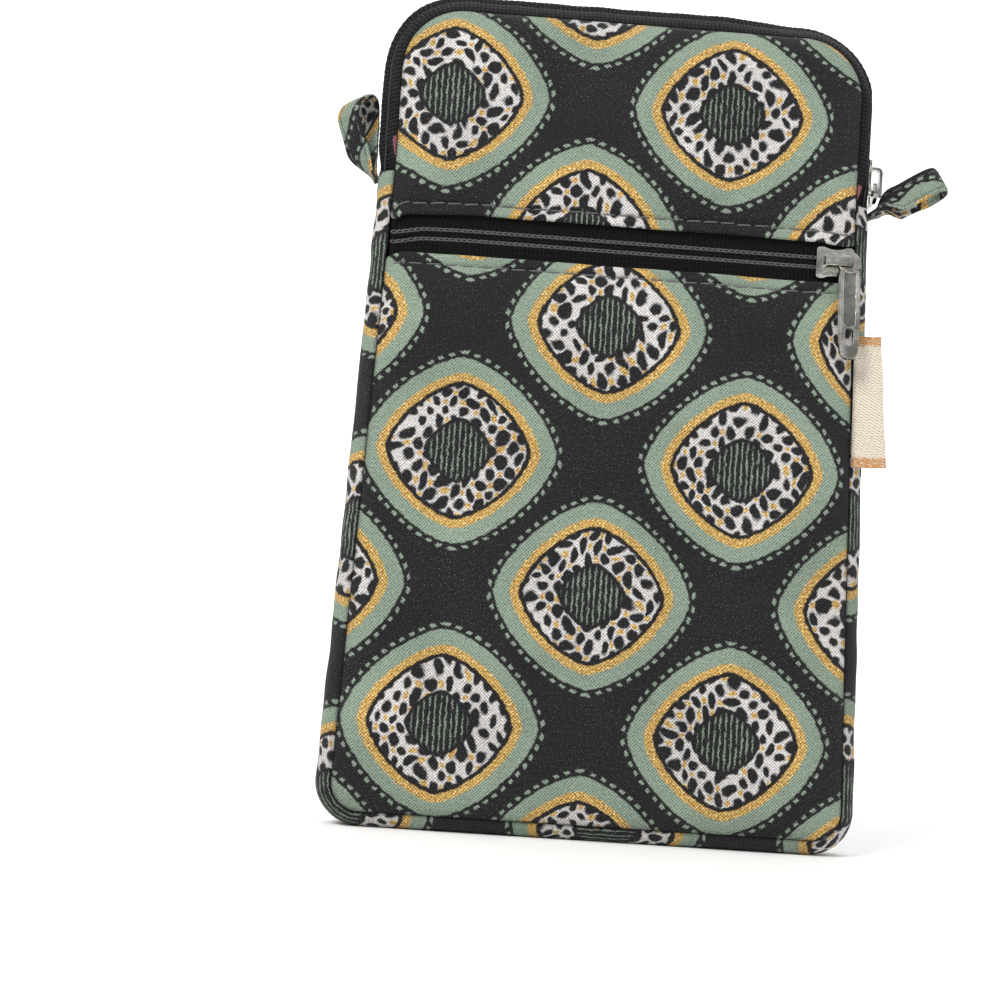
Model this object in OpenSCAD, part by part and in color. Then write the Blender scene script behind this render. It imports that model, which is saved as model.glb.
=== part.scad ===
// Zipped phone pouch of printed canvas, standing on its bottom edge band.
// X runs to the right, Y to the back and Z up; the origin is under the middle of the bottom band.
// Two padded front panels lie above and below a pocket zip, and the main zip runs over the top.

/* [Pouch] */
// Height of the pouch over its edge band
pouch_h = 190; // [165:1:220]
// Width of the pouch at its top, over the edge band
top_w = 113; // [96:1:130]
// Width of the pouch at its bottom, over the edge band
bottom_w = 122; // [97:1:140]
// Depth between the front and back seams
seam_depth = 16; // [15:0.5:22]
// How far the edge band stands out past the seams
bulge = 3.5; // [3.2:0.1:5]
// Width of the flat along the middle of the edge band
edge_flat = 6.8; // [6.4:0.1:8]
// Radius of the panels' top corners
top_r = 14; // [8:0.5:20]
// Radius of the panels' bottom corners
bottom_r = 6.5; // [4:0.5:14]

/* [Fabric] */
// Thickness of the printed fabric
fabric_t = 0.6; // [0.4:0.05:1]
// Thickness of the edge band with its filling
band_t = 1.2; // [0.8:0.1:1.5]
// Thickness of the lining
lining_t = 0.35; // [0.2:0.05:0.5]
// How high the front panels are padded up
front_rise = 2.5; // [1.5:0.1:2.8]
// How high the back panel is padded up
back_rise = 1.6; // [1:0.1:3]
// Distance from a front panel's edge to its level middle
front_run = 13; // [8:0.5:18]
// Distance from the back panel's edge to its level middle
back_run = 16; // [8:0.5:24]
// Radius of the front panels' corners at the pocket zip
fold_r = 1.5; // [1:0.1:3]
// Depth of the front pocket
pocket_depth = 4.3; // [4.2:0.1:5.5]

/* [Zips] */
// Distance from the top of the pouch to the pocket zip's centre line
zip_drop = 55.5; // [52:0.5:62]
// Gap between the front panels, where the pocket zip shows
zip_gap = 9.2; // [8.6:0.1:11]
// Width of each half of the pocket zip's tape
tape_w = 12.5; // [9:0.5:14]
// Thickness of a zip tape
tape_t = 0.5; // [0.35:0.05:0.6]
// Gap between the two halves of a closed tape
tape_gap = 0.2; // [0.1:0.05:0.4]
// Width of the closed coil
coil_w = 4.5; // [4:0.1:4.8]
// Height of the coil behind the tape
coil_h = 1.3; // [1:0.1:1.5]
// Distance from one turn of the coil to the next
coil_pitch = 1.33; // [1.3:0.01:1.6]
// Width of one turn of the coil
turn_w = 0.62; // [0.4:0.01:0.64]
// Width of the coil's sewn spine
spine_w = 0.6; // [0.4:0.1:0.9]
// How far each turn hooks past the centre line
hook_l = 0.55; // [0.3:0.05:0.7]

/* [Sliders] */
// Length of a slider
slider_l = 8.6; // [8:0.1:10]
// Width of a slider
slider_w = 7.2; // [6.8:0.1:7.8]
// Thickness of a slider's plates
plate_t = 0.9; // [0.7:0.05:1.1]
// How much lower the front plate is at its long edges
plate_crown = 0.35; // [0.1:0.05:0.5]
// Radius of the plates' corners
plate_r = 0.9; // [0.4:0.1:1.4]
// Depth of the waist in each long edge of the front plate
waist = 0.6; // [0.2:0.1:0.9]
// Radius of the waist
waist_r = 6; // [4:0.5:9]
// Thickness of the flanges beside the coil
flange_t = 0.6; // [0.4:0.05:0.7]
// Width of the wedge that parts the coil
wedge_w = 1.8; // [1.4:0.1:2]
// Length of the wedge from its point to its widest place
wedge_l = 2.2; // [1.8:0.1:2.6]
// Distance from the head end of a slider to the wedge's widest place
wedge_set = 1.7; // [1.4:0.1:2]
// Width of the wedge at the head end
wedge_end_w = 1.4; // [0.8:0.1:1.4]
// Height of the gap under the bridge
bridge_clear = 2.1; // [2.1:0.05:2.6]
// Thickness of the bridge
bridge_t = 0.7; // [0.5:0.05:1]
// Width of the bridge
bridge_w = 2; // [1.5:0.1:2.4]
// Length of the bridge from its post to its tip
bridge_l = 6.8; // [6.2:0.1:7]
// Radius of the bridge's shoulder over the post
bridge_r = 1.3; // [0.9:0.1:1.6]
// Diameter of the leg that holds the puller
leg_d = 1.3; // [1:0.1:1.5]
// Distance from the bridge's tip to the middle of the leg
leg_inset = 0.75; // [0.6:0.05:1]
// Distance of the closed pocket slider's middle from the right seam
slider_rest = 4.7; // [4.6:0.1:12]
// Distance of the closed main slider's middle from the loop seam
main_rest = 8.9; // [8.8:0.1:12]

/* [Pullers] */
// Length of a puller over its eye
puller_l = 25.6; // [22:0.2:30]
// Width of a puller
puller_w = 5; // [4.4:0.1:5.4]
// Thickness of a puller
puller_t = 1.3; // [1:0.05:1.4]
// Width of a puller's round tip
tip_w = 4.2; // [3.2:0.1:4.4]
// Outer diameter of the eye
eye_d = 5; // [4.2:0.1:5.2]
// Thickness of the eye
eye_t = 0.9; // [0.7:0.05:1]
// Length of the tapering neck below the middle of the eye
neck_l = 4; // [3:0.1:5]
// Length of the lower part that narrows to the tip
taper_l = 6; // [4:0.1:8]
// Length of the sunk field on the front
field_l = 14; // [10:0.1:15]
// Width of the sunk field
field_w = 2.9; // [2:0.1:3.2]
// Depth of the sunk field
field_depth = 0.3; // [0.2:0.05:0.5]
// Length of the slot near the tip
slot_l = 4.3; // [3:0.1:5]
// Width of the slot
slot_w = 1.9; // [1.2:0.1:2.2]
// Width of the bevel along the front edges
bevel = 0.45; // [0.2:0.05:0.6]
// How far the pocket puller leans out over the padded panel, in degrees
puller_lean = 10; // [9:0.5:12]

/* [Strap loops] */
// Distance from the top of the pouch to the seam that holds the loops
loop_drop = 42.5; // [38:0.5:44]
// Width of the loops' folded strip
loop_w = 7; // [5:0.5:9]
// Thickness of the folded strip
loop_t = 1.1; // [0.8:0.05:1.4]
// Length of a loop from its seam to its tip
loop_l = 20; // [16:0.5:24]
// Inner radius of a loop at its tip
loop_r = 3.2; // [3:0.1:4]
// Radius of the strip's fold at the seam
loop_root_r = 0.75; // [0.6:0.05:1]
// Radius at the inner end of a loop's gap
loop_nip_r = 0.3; // [0.2:0.05:0.6]
// Length of the strip's ends inside the seam
tail_l = 2.5; // [1.5:0.1:3]
// Thickness of the strip's two ends, pressed together in the seam
tail_t = 1.6; // [1.2:0.1:2]
// Lean of the left loop from upright, in degrees
left_lean = 18; // [18:1:60]
// Lean of the right loop from upright, in degrees
right_lean = 60; // [58:1:100]

/* [Woven label] */
// Distance from the top of the pouch to the middle of the label
label_drop = 87; // [80:1:140]
// Height of the label
label_h = 30; // [20:1:40]
// Width of the folded label outside the seam
label_w = 6.8; // [5:0.1:10]
// Thickness of one ply of the label
label_ply = 0.3; // [0.2:0.05:0.35]
// Gap between the label's two plies
label_slack = 0.12; // [0.05:0.01:0.2]
// How far the label stands forward of the side, in degrees
label_lean = 8; // [6:1:20]

/* [Clearances] */
// Gap between layers that are sewn flat on each other
layer_gap = 0.05; // [0.03:0.01:0.1]
// Gap beside a soft piece that ends next to another
soft_gap = 0.3; // [0.2:0.05:0.4]
// Gap between a slider's plates and the tape and coil between them
slider_gap = 0.08; // [0.05:0.01:0.1]
// Gap between the coil and the slider's wedge and flanges
wedge_gap = 0.1; // [0.06:0.01:0.15]
// Gap around the leg in the puller's eye
eye_gap = 0.2; // [0.15:0.01:0.25]
// Gap between a padded panel and its filling
filling_gap = 0.15; // [0.1:0.01:0.2]

/* [Hidden] */
$fn = 64;

// How far a cutting shape runs past what it cuts
overrun = 1;
// How far the straights of the edge band run into each other and into its corners
lap = 0.2;
// How much each face of the band's sides is set in where they run into the corners
nest = 0.02;
// Steps round a panel's corner, steps at the slight bend in its side, and steps up its padded edge
corner_steps = 8;
bend_steps = 1;
rise_steps = 6;
// Radius of the slight bend where the sides stop flaring
bend_r = 20;
// Least corner radius towards the middle of a panel
least_r = 1;

canvas = "DimGray";
canvas_band = "SlateGray";
foam = "WhiteSmoke";
lining_red = "Maroon";
tape_black = [0.06, 0.06, 0.07];
coil_black = [0.12, 0.12, 0.13];
nickel = "Silver";
label_cream = "Wheat";

// Seam line: its half widths, its heights and the slope of the flaring sides
seam_y = seam_depth / 2;
seam_x_top = top_w / 2 - bulge;
seam_x_bottom = bottom_w / 2 - bulge;
seam_z_bottom = bulge;
seam_z_top = pouch_h - bulge;
loop_z = pouch_h - loop_drop;
zip_z = pouch_h - zip_drop;
flare = atan((seam_x_bottom - seam_x_top) / (loop_z - seam_z_bottom));

// Radius of the arc over a chord of twice half_w that stands sag above its middle
function arc_radius(half_w, sag) = (half_w * half_w + sag * sag) / (2 * sag);
// Half width of the panels at height z
function seam_x(z) = seam_x_top + max(0, loop_z - z) * tan(flare);

// Section of the edge band: flat in the middle, with an arc down to each seam
flat_y = edge_flat / 2;
edge_r = arc_radius(seam_y - flat_y, bulge);

// Bottom corners of the seam line, and the flaring sides from there up to the loops' tails
low_centre = [seam_x(seam_z_bottom + bottom_r) - bottom_r, seam_z_bottom + bottom_r];
tail_slot = tail_t / 2 + layer_gap;
side_run = (loop_z - tail_slot - low_centre[1] - bulge * sin(flare)) / cos(flare);
// Lower ends of the main zip, above the loops' tails
main_end_z = loop_z + tail_slot;
// Start of the rounded top corners
corner_x = seam_x_top - top_r;
corner_z = seam_z_top - top_r;

// Planes of the layers behind the front seam, measured back from it
tape_y = -seam_y + layer_gap;
pocket_back_y = tape_y + lining_t + pocket_depth;

// Slider, along its own length with the head end positive; its zero height is the tape's outer face
slider_half = slider_l / 2;
wedge_wide_x = slider_half - wedge_set;
wedge_point_x = wedge_wide_x - wedge_l;
part_slope = wedge_w / 2 / wedge_l;
part_start = wedge_point_x - (hook_l + wedge_gap) / part_slope;
part_most = hook_l + wedge_w / 2 + 2 * wedge_gap;
flange_end = part_start + (slider_w / 2 - flange_t - coil_w / 2 - wedge_gap) / part_slope - turn_w;
rear_plate_z = -(tape_t + layer_gap + coil_h + slider_gap + plate_t);
plate_top = slider_gap + plate_t;
bridge_z = plate_top + bridge_clear;
bridge_tip_x = slider_half - plate_r / 2;
leg_x = bridge_tip_x - leg_inset;
eye_z = plate_top + bridge_clear / 2;
pocket_slider_x = seam_x(zip_z) - slider_rest;
main_slider_z = loop_z + main_rest;

// Strap loops: the middle of the strip's fold, clear of the band's outer face
root_x = top_w / 2 + layer_gap + loop_root_r;
loop_reach = loop_l - loop_r - loop_t;
loop_spread = asin((loop_r + loop_t - loop_root_r) / loop_reach);
nip_reach = (loop_nip_r + loop_t - loop_root_r) / sin(loop_spread);

// Woven label: its middle height and thickness, and its root just outside the seam
label_z = pouch_h - label_drop;
label_t = 2 * label_ply + label_slack;
label_root = soft_gap + 2 * layer_gap;

// Corners of the panels, going round from the bottom left, with their radii and steps
whole_corners = [
    [-seam_x_bottom, seam_z_bottom], [seam_x_bottom, seam_z_bottom], [seam_x_top, loop_z],
    [seam_x_top, seam_z_top], [-seam_x_top, seam_z_top], [-seam_x_top, loop_z]
];
whole_radii = [bottom_r, bottom_r, bend_r, top_r, top_r, bend_r];
whole_steps = [corner_steps, corner_steps, bend_steps, corner_steps, corner_steps, bend_steps];
upper_z = zip_z + zip_gap / 2;
upper_corners = [
    [-seam_x(upper_z), upper_z], [seam_x(upper_z), upper_z], [seam_x_top, loop_z],
    [seam_x_top, seam_z_top], [-seam_x_top, seam_z_top], [-seam_x_top, loop_z]
];
upper_radii = [fold_r, fold_r, bend_r, top_r, top_r, bend_r];
lower_z = zip_z - zip_gap / 2;
lower_corners = [
    [-seam_x_bottom, seam_z_bottom], [seam_x_bottom, seam_z_bottom],
    [seam_x(lower_z), lower_z], [-seam_x(lower_z), lower_z]
];
lower_radii = [bottom_r, bottom_r, fold_r, fold_r];
lower_steps = [corner_steps, corner_steps, corner_steps, corner_steps];

// Inward normal of the edge from p to q, and the points of one rounded corner drawn in by inset
function inward(p, q) = let (e = (q - p) / norm(q - p)) [-e[1], e[0]];
function corner_points(corners, radii, steps, inset, i) =
    let (
        count = len(corners),
        n1 = inward(corners[(i + count - 1) % count], corners[i]),
        n2 = inward(corners[i], corners[(i + 1) % count]),
        r = max(radii[i] - inset, least_r),
        centre = corners[i] + (inset + r) * (n1 + n2) / (1 + n1 * n2),
        from = atan2(-n1[1], -n1[0]),
        turn = acos(min(1, n1 * n2))
    )
    [for (k = [0:steps[i]]) centre + r * [cos(from + turn * k / steps[i]), sin(from + turn * k / steps[i])]];
function outline(corners, radii, steps, inset) =
    [for (i = [0:len(corners) - 1]) each corner_points(corners, radii, steps, inset, i)];

// Rings of a padded edge, a quarter ellipse in section, as points with the front towards -Y
function rise_ring(corners, radii, steps, run, rise, lift, k) =
    [for (p = outline(corners, radii, steps, run * (1 - cos(90 * k / rise_steps))))
        [p[0], -lift - rise * sin(90 * k / rise_steps), p[1]]];
function band_faces(first, second, count) =
    [for (i = [0:count - 1])
        let (a = first + i, b = first + (i + 1) % count, c = second + i, d = second + (i + 1) % count)
        each [[a, c, d], [a, d, b]]];
function reversed_faces(faces) = [for (f = faces) [for (i = [len(f) - 1:-1:0]) f[i]]];

// Closed polyhedron between an outer stack of rings and an inner one with as many points a ring
module ring_solid(outer, inner) {
    count = len(outer[0]);
    start = len(outer) * count;
    outer_faces = [for (k = [0:len(outer) - 2]) each band_faces(k * count, (k + 1) * count, count)];
    inner_faces = len(inner) < 2 ? [] : reversed_faces(
        [for (k = [0:len(inner) - 2]) each band_faces(start + k * count, start + (k + 1) * count, count)]);
    rim = band_faces(start, 0, count);
    outer_cap = [for (i = [count - 1:-1:0]) (len(outer) - 1) * count + i];
    inner_cap = [for (i = [0:count - 1]) start + (len(inner) - 1) * count + i];
    polyhedron(
        [for (ring = concat(outer, inner)) each ring],
        concat(outer_faces, inner_faces, rim, [outer_cap], [inner_cap]));
}

// Fabric panel that rises from its seam to a level middle
module padded_panel(corners, radii, steps, run, rise) {
    translate([0, -seam_y, 0]) ring_solid(
        [for (k = [0:rise_steps]) rise_ring(corners, radii, steps, run, rise, fabric_t, k)],
        [for (k = [0:rise_steps]) rise_ring(corners, radii, steps, run, rise, 0, k)]);
}

// Foam that fills a padded panel down to the seam's plane
module panel_filling(corners, radii, steps, run, rise) {
    base = [for (p = rise_ring(corners, radii, steps, run, rise, 0, 1)) [p[0], -layer_gap, p[2]]];
    translate([0, -seam_y, 0]) ring_solid(
        [for (k = [1:rise_steps]) rise_ring(corners, radii, steps, run, rise, -filling_gap, k)],
        [base]);
}

// Flat sheet in the panels' outline, drawn in by inset, with its front face at y
module flat_sheet(y, inset, thickness) {
    translate([0, y + thickness, 0]) rotate([90, 0, 0]) linear_extrude(thickness)
        polygon(outline(whole_corners, whole_radii, whole_steps, inset));
}

// Half plane of the section outside the seams, and the section's outer shape drawn in by depth
module edge_shape(depth) {
    translate([0, -flat_y]) square([bulge - depth, edge_flat]);
    for (side = [-1, 1])
        translate([bulge - edge_r, side * flat_y]) circle(edge_r - depth);
}
module edge_shell(outer_depth, inner_depth, set_in = 0) {
    intersection() {
        difference() {
            edge_shape(outer_depth + set_in);
            edge_shape(inner_depth - set_in);
        }
        translate([set_in, -seam_depth]) square([bulge, 2 * seam_depth]);
    }
}

// Section swept along a straight of the edge, clockwise from a seam point, and round a corner of it
module straight_run(at, facing, length) {
    translate([at[0], 0, at[1]]) rotate([0, -facing, 0]) rotate([180, 0, 0])
        linear_extrude(length) children();
}
module corner_run(centre, radius, from, to) {
    translate([centre[0], 0, centre[1]]) rotate([90, 0, 0]) rotate([0, 0, from])
        rotate_extrude(angle = to - from) translate([radius, 0]) children();
}
// Below the loops: from the middle of the bottom up one side, and the same mirrored.
// The shell lies between two depths; its sides are a hair thinner, so that they nest in the corners.
module low_run(outer_depth, inner_depth) {
    for (side = [0, 1]) mirror([side, 0, 0]) translate([low_centre[0], 0, low_centre[1]]) {
        rotate([0, 90, 0]) translate([bottom_r, 0, -low_centre[0] - lap])
            linear_extrude(low_centre[0] + lap) edge_shell(outer_depth, inner_depth);
        corner_run([0, 0], bottom_r, -90, 0) edge_shell(outer_depth, inner_depth);
        translate([bottom_r, 0, 0]) rotate([0, -flare, 0]) translate([0, 0, -lap])
            linear_extrude(side_run + lap) edge_shell(outer_depth, inner_depth, nest);
    }
}
// Above the loops: up the left side, over the top and down the right side
module high_run() {
    side_l = corner_z - main_end_z;
    straight_run([-seam_x_top, main_end_z], 180, side_l) children();
    corner_run([-corner_x, corner_z], top_r, 90, 180) children();
    straight_run([-corner_x, seam_z_top], 90, 2 * corner_x) children();
    corner_run([corner_x, corner_z], top_r, 0, 90) children();
    straight_run([seam_x_top, corner_z], 0, side_l) children();
}

// How far each half of the coil is drawn aside at x along the slider
function parted(x) = min(part_most, max(0, x - part_start) * part_slope);

// Half coil in plan, a comb of turns on a spine, on its first or second side of the centre line
module coil_comb(length, second, slider_x) {
    shift = (coil_pitch / 2 - turn_w) / 2 + (second ? coil_pitch / 2 : 0);
    turns = floor((length - shift - turn_w) / coil_pitch);
    spine_y = coil_w / 2;
    starts = [for (i = [0:turns]) shift + i * coil_pitch];
    aside = [for (x = starts) parted(x + turn_w - slider_x)];
    comb = [for (i = [0:turns]) let (x = starts[i], p = aside[i]) each [
        [x, spine_y - spine_w + p], [x, p - hook_l],
        [x + turn_w, p - hook_l], [x + turn_w, spine_y - spine_w + p]
    ]];
    spine = [for (i = [turns:-1:0]) [starts[i] + turn_w, spine_y + aside[i]]];
    polygon(concat(
        [[0, spine_y], [0, spine_y - spine_w]], comb,
        [[length, spine_y - spine_w + aside[turns]], [length, spine_y + aside[turns]]], spine));
}

// Opening between the tapes from a slider's wedge to the end of the zip
module tape_mouth(end_x) {
    lead = wedge_l / 2;
    half = wedge_w / 2 + soft_gap;
    polygon([
        [wedge_point_x - lead, 0], [wedge_wide_x, half], [end_x, half],
        [end_x, -half], [wedge_wide_x, -half]
    ]);
}

module rounded_rect(length, width, r) {
    square([length - 2 * r, width], center = true);
    square([length, width - 2 * r], center = true);
    for (x = [-1, 1], y = [-1, 1])
        translate([x * (length / 2 - r), y * (width / 2 - r)]) circle(r);
}

// Slider with its head end towards +X, its plates in the XY plane and its bridge upward
module slider() {
    crown_r = arc_radius(slider_w / 2, plate_crown);
    // front plate, waisted and crowned
    intersection() {
        translate([0, 0, slider_gap]) linear_extrude(plate_t) difference() {
            rounded_rect(slider_l, slider_w, plate_r);
            for (side = [-1, 1])
                translate([0, side * (slider_w / 2 - waist + waist_r)]) circle(waist_r);
        }
        translate([-slider_l, 0, plate_top - crown_r]) rotate([0, 90, 0])
            cylinder(h = 2 * slider_l, r = crown_r, $fn = 128);
    }
    // rear plate
    translate([0, 0, rear_plate_z]) linear_extrude(plate_t) rounded_rect(slider_l, slider_w, plate_r);
    // flanges beside the closed coil
    for (side = [0, 1]) mirror([0, side, 0])
        translate([plate_r - slider_half, slider_w / 2 - flange_t, rear_plate_z])
            cube([flange_end + slider_half - plate_r, flange_t, -rear_plate_z - tape_t - wedge_gap]);
    // wedge that parts the coil and joins the plates
    translate([0, 0, rear_plate_z + plate_t / 2])
        linear_extrude(plate_top - plate_crown - rear_plate_z - plate_t / 2) polygon([
            [wedge_point_x, 0], [wedge_wide_x, wedge_w / 2], [slider_half - plate_r, wedge_end_w / 2],
            [slider_half - plate_r, -wedge_end_w / 2], [wedge_wide_x, -wedge_w / 2]
        ]);
    // bridge on its post
    rotate([90, 0, 0]) translate([0, 0, -bridge_w / 2]) linear_extrude(bridge_w) bridge_side();
    // leg under the bridge's tip
    translate([leg_x, 0, plate_top - plate_t / 2])
        cylinder(h = plate_t / 2 + bridge_clear + bridge_t / 2, d = leg_d);
}
// Bridge seen from the side: a post at the tail, a rounded shoulder and a level strip
module bridge_side() {
    post_x = bridge_tip_x - bridge_l;
    base = plate_top - plate_t / 2;
    top = bridge_z + bridge_t;
    inner_r = bridge_r - bridge_t;
    difference() {
        union() {
            translate([post_x, base]) square([bridge_l, top - bridge_r - base]);
            translate([post_x + bridge_r, base]) square([bridge_l - bridge_r, top - base]);
            translate([post_x + bridge_r, top - bridge_r]) circle(bridge_r);
        }
        translate([post_x + bridge_t, base - overrun])
            square([bridge_l, bridge_z - inner_r - base + overrun]);
        translate([post_x + bridge_r, base - overrun])
            square([bridge_l, bridge_z - base + overrun]);
        translate([post_x + bridge_r, bridge_z - inner_r]) circle(inner_r);
    }
}

// Puller hanging from its eye towards -Y, its front upward, leaning forward about the eye
module puller(lean) {
    tip_y = tip_w / 2 + eye_d / 2 - puller_l;
    body_y = -eye_d / 2 + eye_t / 2;
    taper_y = tip_y + taper_l;
    slot_y = tip_y + slot_w / 2;
    field_y = slot_y + slot_l;
    difference() {
        rotate([-lean, 0, 0]) union() {
            translate([0, 0, -eye_t / 2]) cylinder(h = eye_t, d = eye_d);
            difference() {
                intersection() {
                    translate([0, 0, -puller_t / 2]) linear_extrude(puller_t) union() {
                        polygon([
                            [-eye_d / 2 + bevel, body_y], [-puller_w / 2, -neck_l], [-puller_w / 2, taper_y],
                            [-tip_w / 2, tip_y], [tip_w / 2, tip_y], [puller_w / 2, taper_y],
                            [puller_w / 2, -neck_l], [eye_d / 2 - bevel, body_y]
                        ]);
                        translate([0, tip_y]) circle(d = tip_w);
                    }
                    rotate([90, 0, 0]) linear_extrude(puller_l) polygon([
                        [-puller_w / 2, -puller_t / 2], [puller_w / 2, -puller_t / 2],
                        [puller_w / 2, puller_t / 2 - bevel], [puller_w / 2 - bevel, puller_t / 2],
                        [bevel - puller_w / 2, puller_t / 2], [-puller_w / 2, puller_t / 2 - bevel]
                    ]);
                }
                translate([0, field_y, puller_t / 2 - field_depth]) stadium(field_l, field_w, puller_t);
                translate([0, slot_y, -puller_t]) stadium(slot_l, slot_w, 2 * puller_t);
            }
        }
        translate([0, 0, -puller_t - eye_d]) cylinder(h = 2 * (puller_t + eye_d), d = leg_d + 2 * eye_gap);
    }
}
// Upright slot shape with round ends, from y = 0 up to its length
module stadium(length, width, height) {
    linear_extrude(height) {
        translate([-width / 2, width / 2]) square([width, length - width]);
        for (y = [width / 2, length - width / 2])
            translate([0, y]) circle(d = width);
    }
}

// Two circles up the Y axis with the straight tangents between them
module drop(low_r, high_r, reach) {
    s = asin((high_r - low_r) / reach);
    circle(low_r);
    translate([0, reach]) circle(high_r);
    polygon([
        [low_r * cos(s), -low_r * sin(s)], [high_r * cos(s), reach - high_r * sin(s)],
        [-high_r * cos(s), reach - high_r * sin(s)], [-low_r * cos(s), -low_r * sin(s)]
    ]);
}
// Strap loop standing on its root, a folded strip bent into a drop
module strap_loop() {
    rotate([90, 0, 0]) translate([0, 0, -loop_w / 2]) linear_extrude(loop_w) difference() {
        drop(loop_root_r, loop_r + loop_t, loop_reach);
        translate([0, nip_reach]) drop(loop_nip_r, loop_r, loop_reach - nip_reach);
    }
}
// Ends of the strip in the right seam, flush with the band's outer face
module strap_tail() {
    translate([top_w / 2 - tail_l, -loop_w / 2, loop_z - tail_t / 2]) cube([tail_l, loop_w, tail_t]);
}

module front_upper_panel() {
    color(canvas) padded_panel(upper_corners, upper_radii, whole_steps, front_run, front_rise);
}

module front_lower_panel() {
    color(canvas) padded_panel(lower_corners, lower_radii, lower_steps, front_run, front_rise);
}

module back_panel() {
    color(canvas) mirror([0, 1, 0])
        padded_panel(whole_corners, whole_radii, whole_steps, back_run, back_rise);
}

module edge_band() {
    color(canvas_band) low_run(0, band_t);
}

module front_upper_filling() {
    color(foam) panel_filling(upper_corners, upper_radii, whole_steps, front_run, front_rise);
}

module front_lower_filling() {
    color(foam) panel_filling(lower_corners, lower_radii, lower_steps, front_run, front_rise);
}

module back_filling() {
    color(foam) mirror([0, 1, 0])
        panel_filling(whole_corners, whole_radii, whole_steps, back_run, back_rise);
}

module band_lining() {
    color(lining_red) low_run(band_t + layer_gap, band_t + layer_gap + lining_t);
}

module back_lining() {
    color(lining_red) flat_sheet(seam_y - layer_gap - lining_t, soft_gap, lining_t);
}

// Front wall of the pocket, sewn to the lower tape
module pocket_front_lining() {
    color(lining_red) intersection() {
        flat_sheet(tape_y, soft_gap, lining_t);
        translate([-bottom_w, -seam_depth, 0]) cube([2 * bottom_w, seam_depth, zip_z - tape_w - layer_gap]);
    }
}

// Wall between the pocket and the phone, out to the band's lining below the loops
module pocket_back_lining() {
    reach = bulge - band_t - layer_gap - lining_t - soft_gap;
    color(lining_red) union() {
        flat_sheet(pocket_back_y, soft_gap, lining_t);
        intersection() {
            flat_sheet(pocket_back_y, -reach, lining_t);
            translate([-bottom_w, -seam_depth, 0])
                cube([2 * bottom_w, 2 * seam_depth, loop_z - tail_slot - soft_gap]);
        }
    }
}

// Half of the main zip's tape in section, on the side that v points to
module main_tape(side) {
    difference() {
        high_run() intersection() {
            edge_shell(0, tape_t);
            translate([0, side < 0 ? -seam_depth - tape_gap / 2 : tape_gap / 2])
                square([bulge + overrun, seam_depth]);
        }
        translate([top_w / 2 - bulge, 0, main_slider_z]) rotate([0, 90, 0])
            linear_extrude(bulge + overrun) tape_mouth(main_rest);
    }
}

module main_tape_front() {
    color(tape_black) main_tape(1);
}

module main_tape_back() {
    color(tape_black) main_tape(-1);
}

// Half coil of the main zip: combs on the straights, and turns set round the corners
module main_coil(back) {
    top_n = bulge - tape_t - layer_gap;
    side_l = corner_z - main_end_z;
    turns = floor((top_r + top_n) * PI / 2 / coil_pitch);
    step = 90 / turns;
    turn_angle = step * turn_w / coil_pitch;
    first_at = (step / 2 - turn_angle) / 2 + (back ? 0 : step / 2);
    // down the right side, where the slider parts the halves
    translate([seam_x_top + top_n - coil_h, 0, corner_z]) rotate([0, 90, 0]) linear_extrude(coil_h)
        mirror([0, back ? 0 : 1, 0]) coil_comb(side_l, back, corner_z - main_slider_z);
    // up the left side
    translate([-seam_x_top - top_n + coil_h, 0, main_end_z]) rotate([0, -90, 0]) linear_extrude(coil_h)
        mirror([0, back ? 0 : 1, 0]) coil_comb(side_l, back, pouch_h);
    // along the top
    translate([-corner_x, 0, seam_z_top + top_n - coil_h]) linear_extrude(coil_h)
        mirror([0, back ? 0 : 1, 0]) coil_comb(2 * corner_x, back, pouch_h);
    // round the corners, on a spine that is thinner than the turns
    for (from = [0, 90])
        let (centre = [from > 0 ? -corner_x : corner_x, corner_z], inner_r = top_r + top_n - coil_h) {
            corner_run(centre, inner_r + coil_h / 4, from - step / 4, from + 90 + step / 4)
                coil_section(back, spine_w * 3 / 4, coil_h / 2);
            for (i = [0:turns - 1])
                corner_run(centre, inner_r, from + first_at + i * step, from + first_at + i * step + turn_angle)
                    coil_section(back, coil_w / 2 + hook_l, coil_h);
        }
}
// Section of a half coil from its outer edge inwards, the front half on the positive side
module coil_section(back, reach, height) {
    translate([0, back ? -coil_w / 2 : coil_w / 2 - reach]) square([height, reach]);
}

module main_coil_front() {
    color(coil_black) main_coil(false);
}

module main_coil_back() {
    color(coil_black) main_coil(true);
}

module main_slider() {
    color(nickel) translate([top_w / 2, 0, main_slider_z]) rotate([0, 90, 0]) slider();
}

module main_puller() {
    color(nickel) translate([top_w / 2, 0, main_slider_z]) rotate([0, 90, 0])
        translate([leg_x, 0, eye_z]) rotate([0, 0, 180]) puller(0);
}

// Half of the pocket zip's tape, upper or lower
module pocket_tape(side) {
    half_l = seam_x(zip_z + tape_w) - soft_gap;
    color(tape_black) translate([0, tape_y + tape_t, zip_z]) rotate([90, 0, 0]) linear_extrude(tape_t)
        difference() {
            translate([-half_l, side > 0 ? tape_gap / 2 : -tape_w]) square([2 * half_l, tape_w - tape_gap / 2]);
            translate([pocket_slider_x, 0]) tape_mouth(slider_rest + overrun);
        }
}

module pocket_tape_upper() {
    pocket_tape(1);
}

module pocket_tape_lower() {
    pocket_tape(-1);
}

// Half of the pocket zip's coil, upper or lower
module pocket_coil(side) {
    half_l = seam_x(zip_z + tape_w) - soft_gap;
    color(coil_black) translate([0, tape_y + tape_t + layer_gap + coil_h, zip_z]) rotate([90, 0, 0])
        linear_extrude(coil_h) mirror([0, side < 0 ? 1 : 0, 0])
            translate([-half_l, 0]) coil_comb(2 * half_l, side < 0, pocket_slider_x + half_l);
}

module pocket_coil_upper() {
    pocket_coil(1);
}

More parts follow.
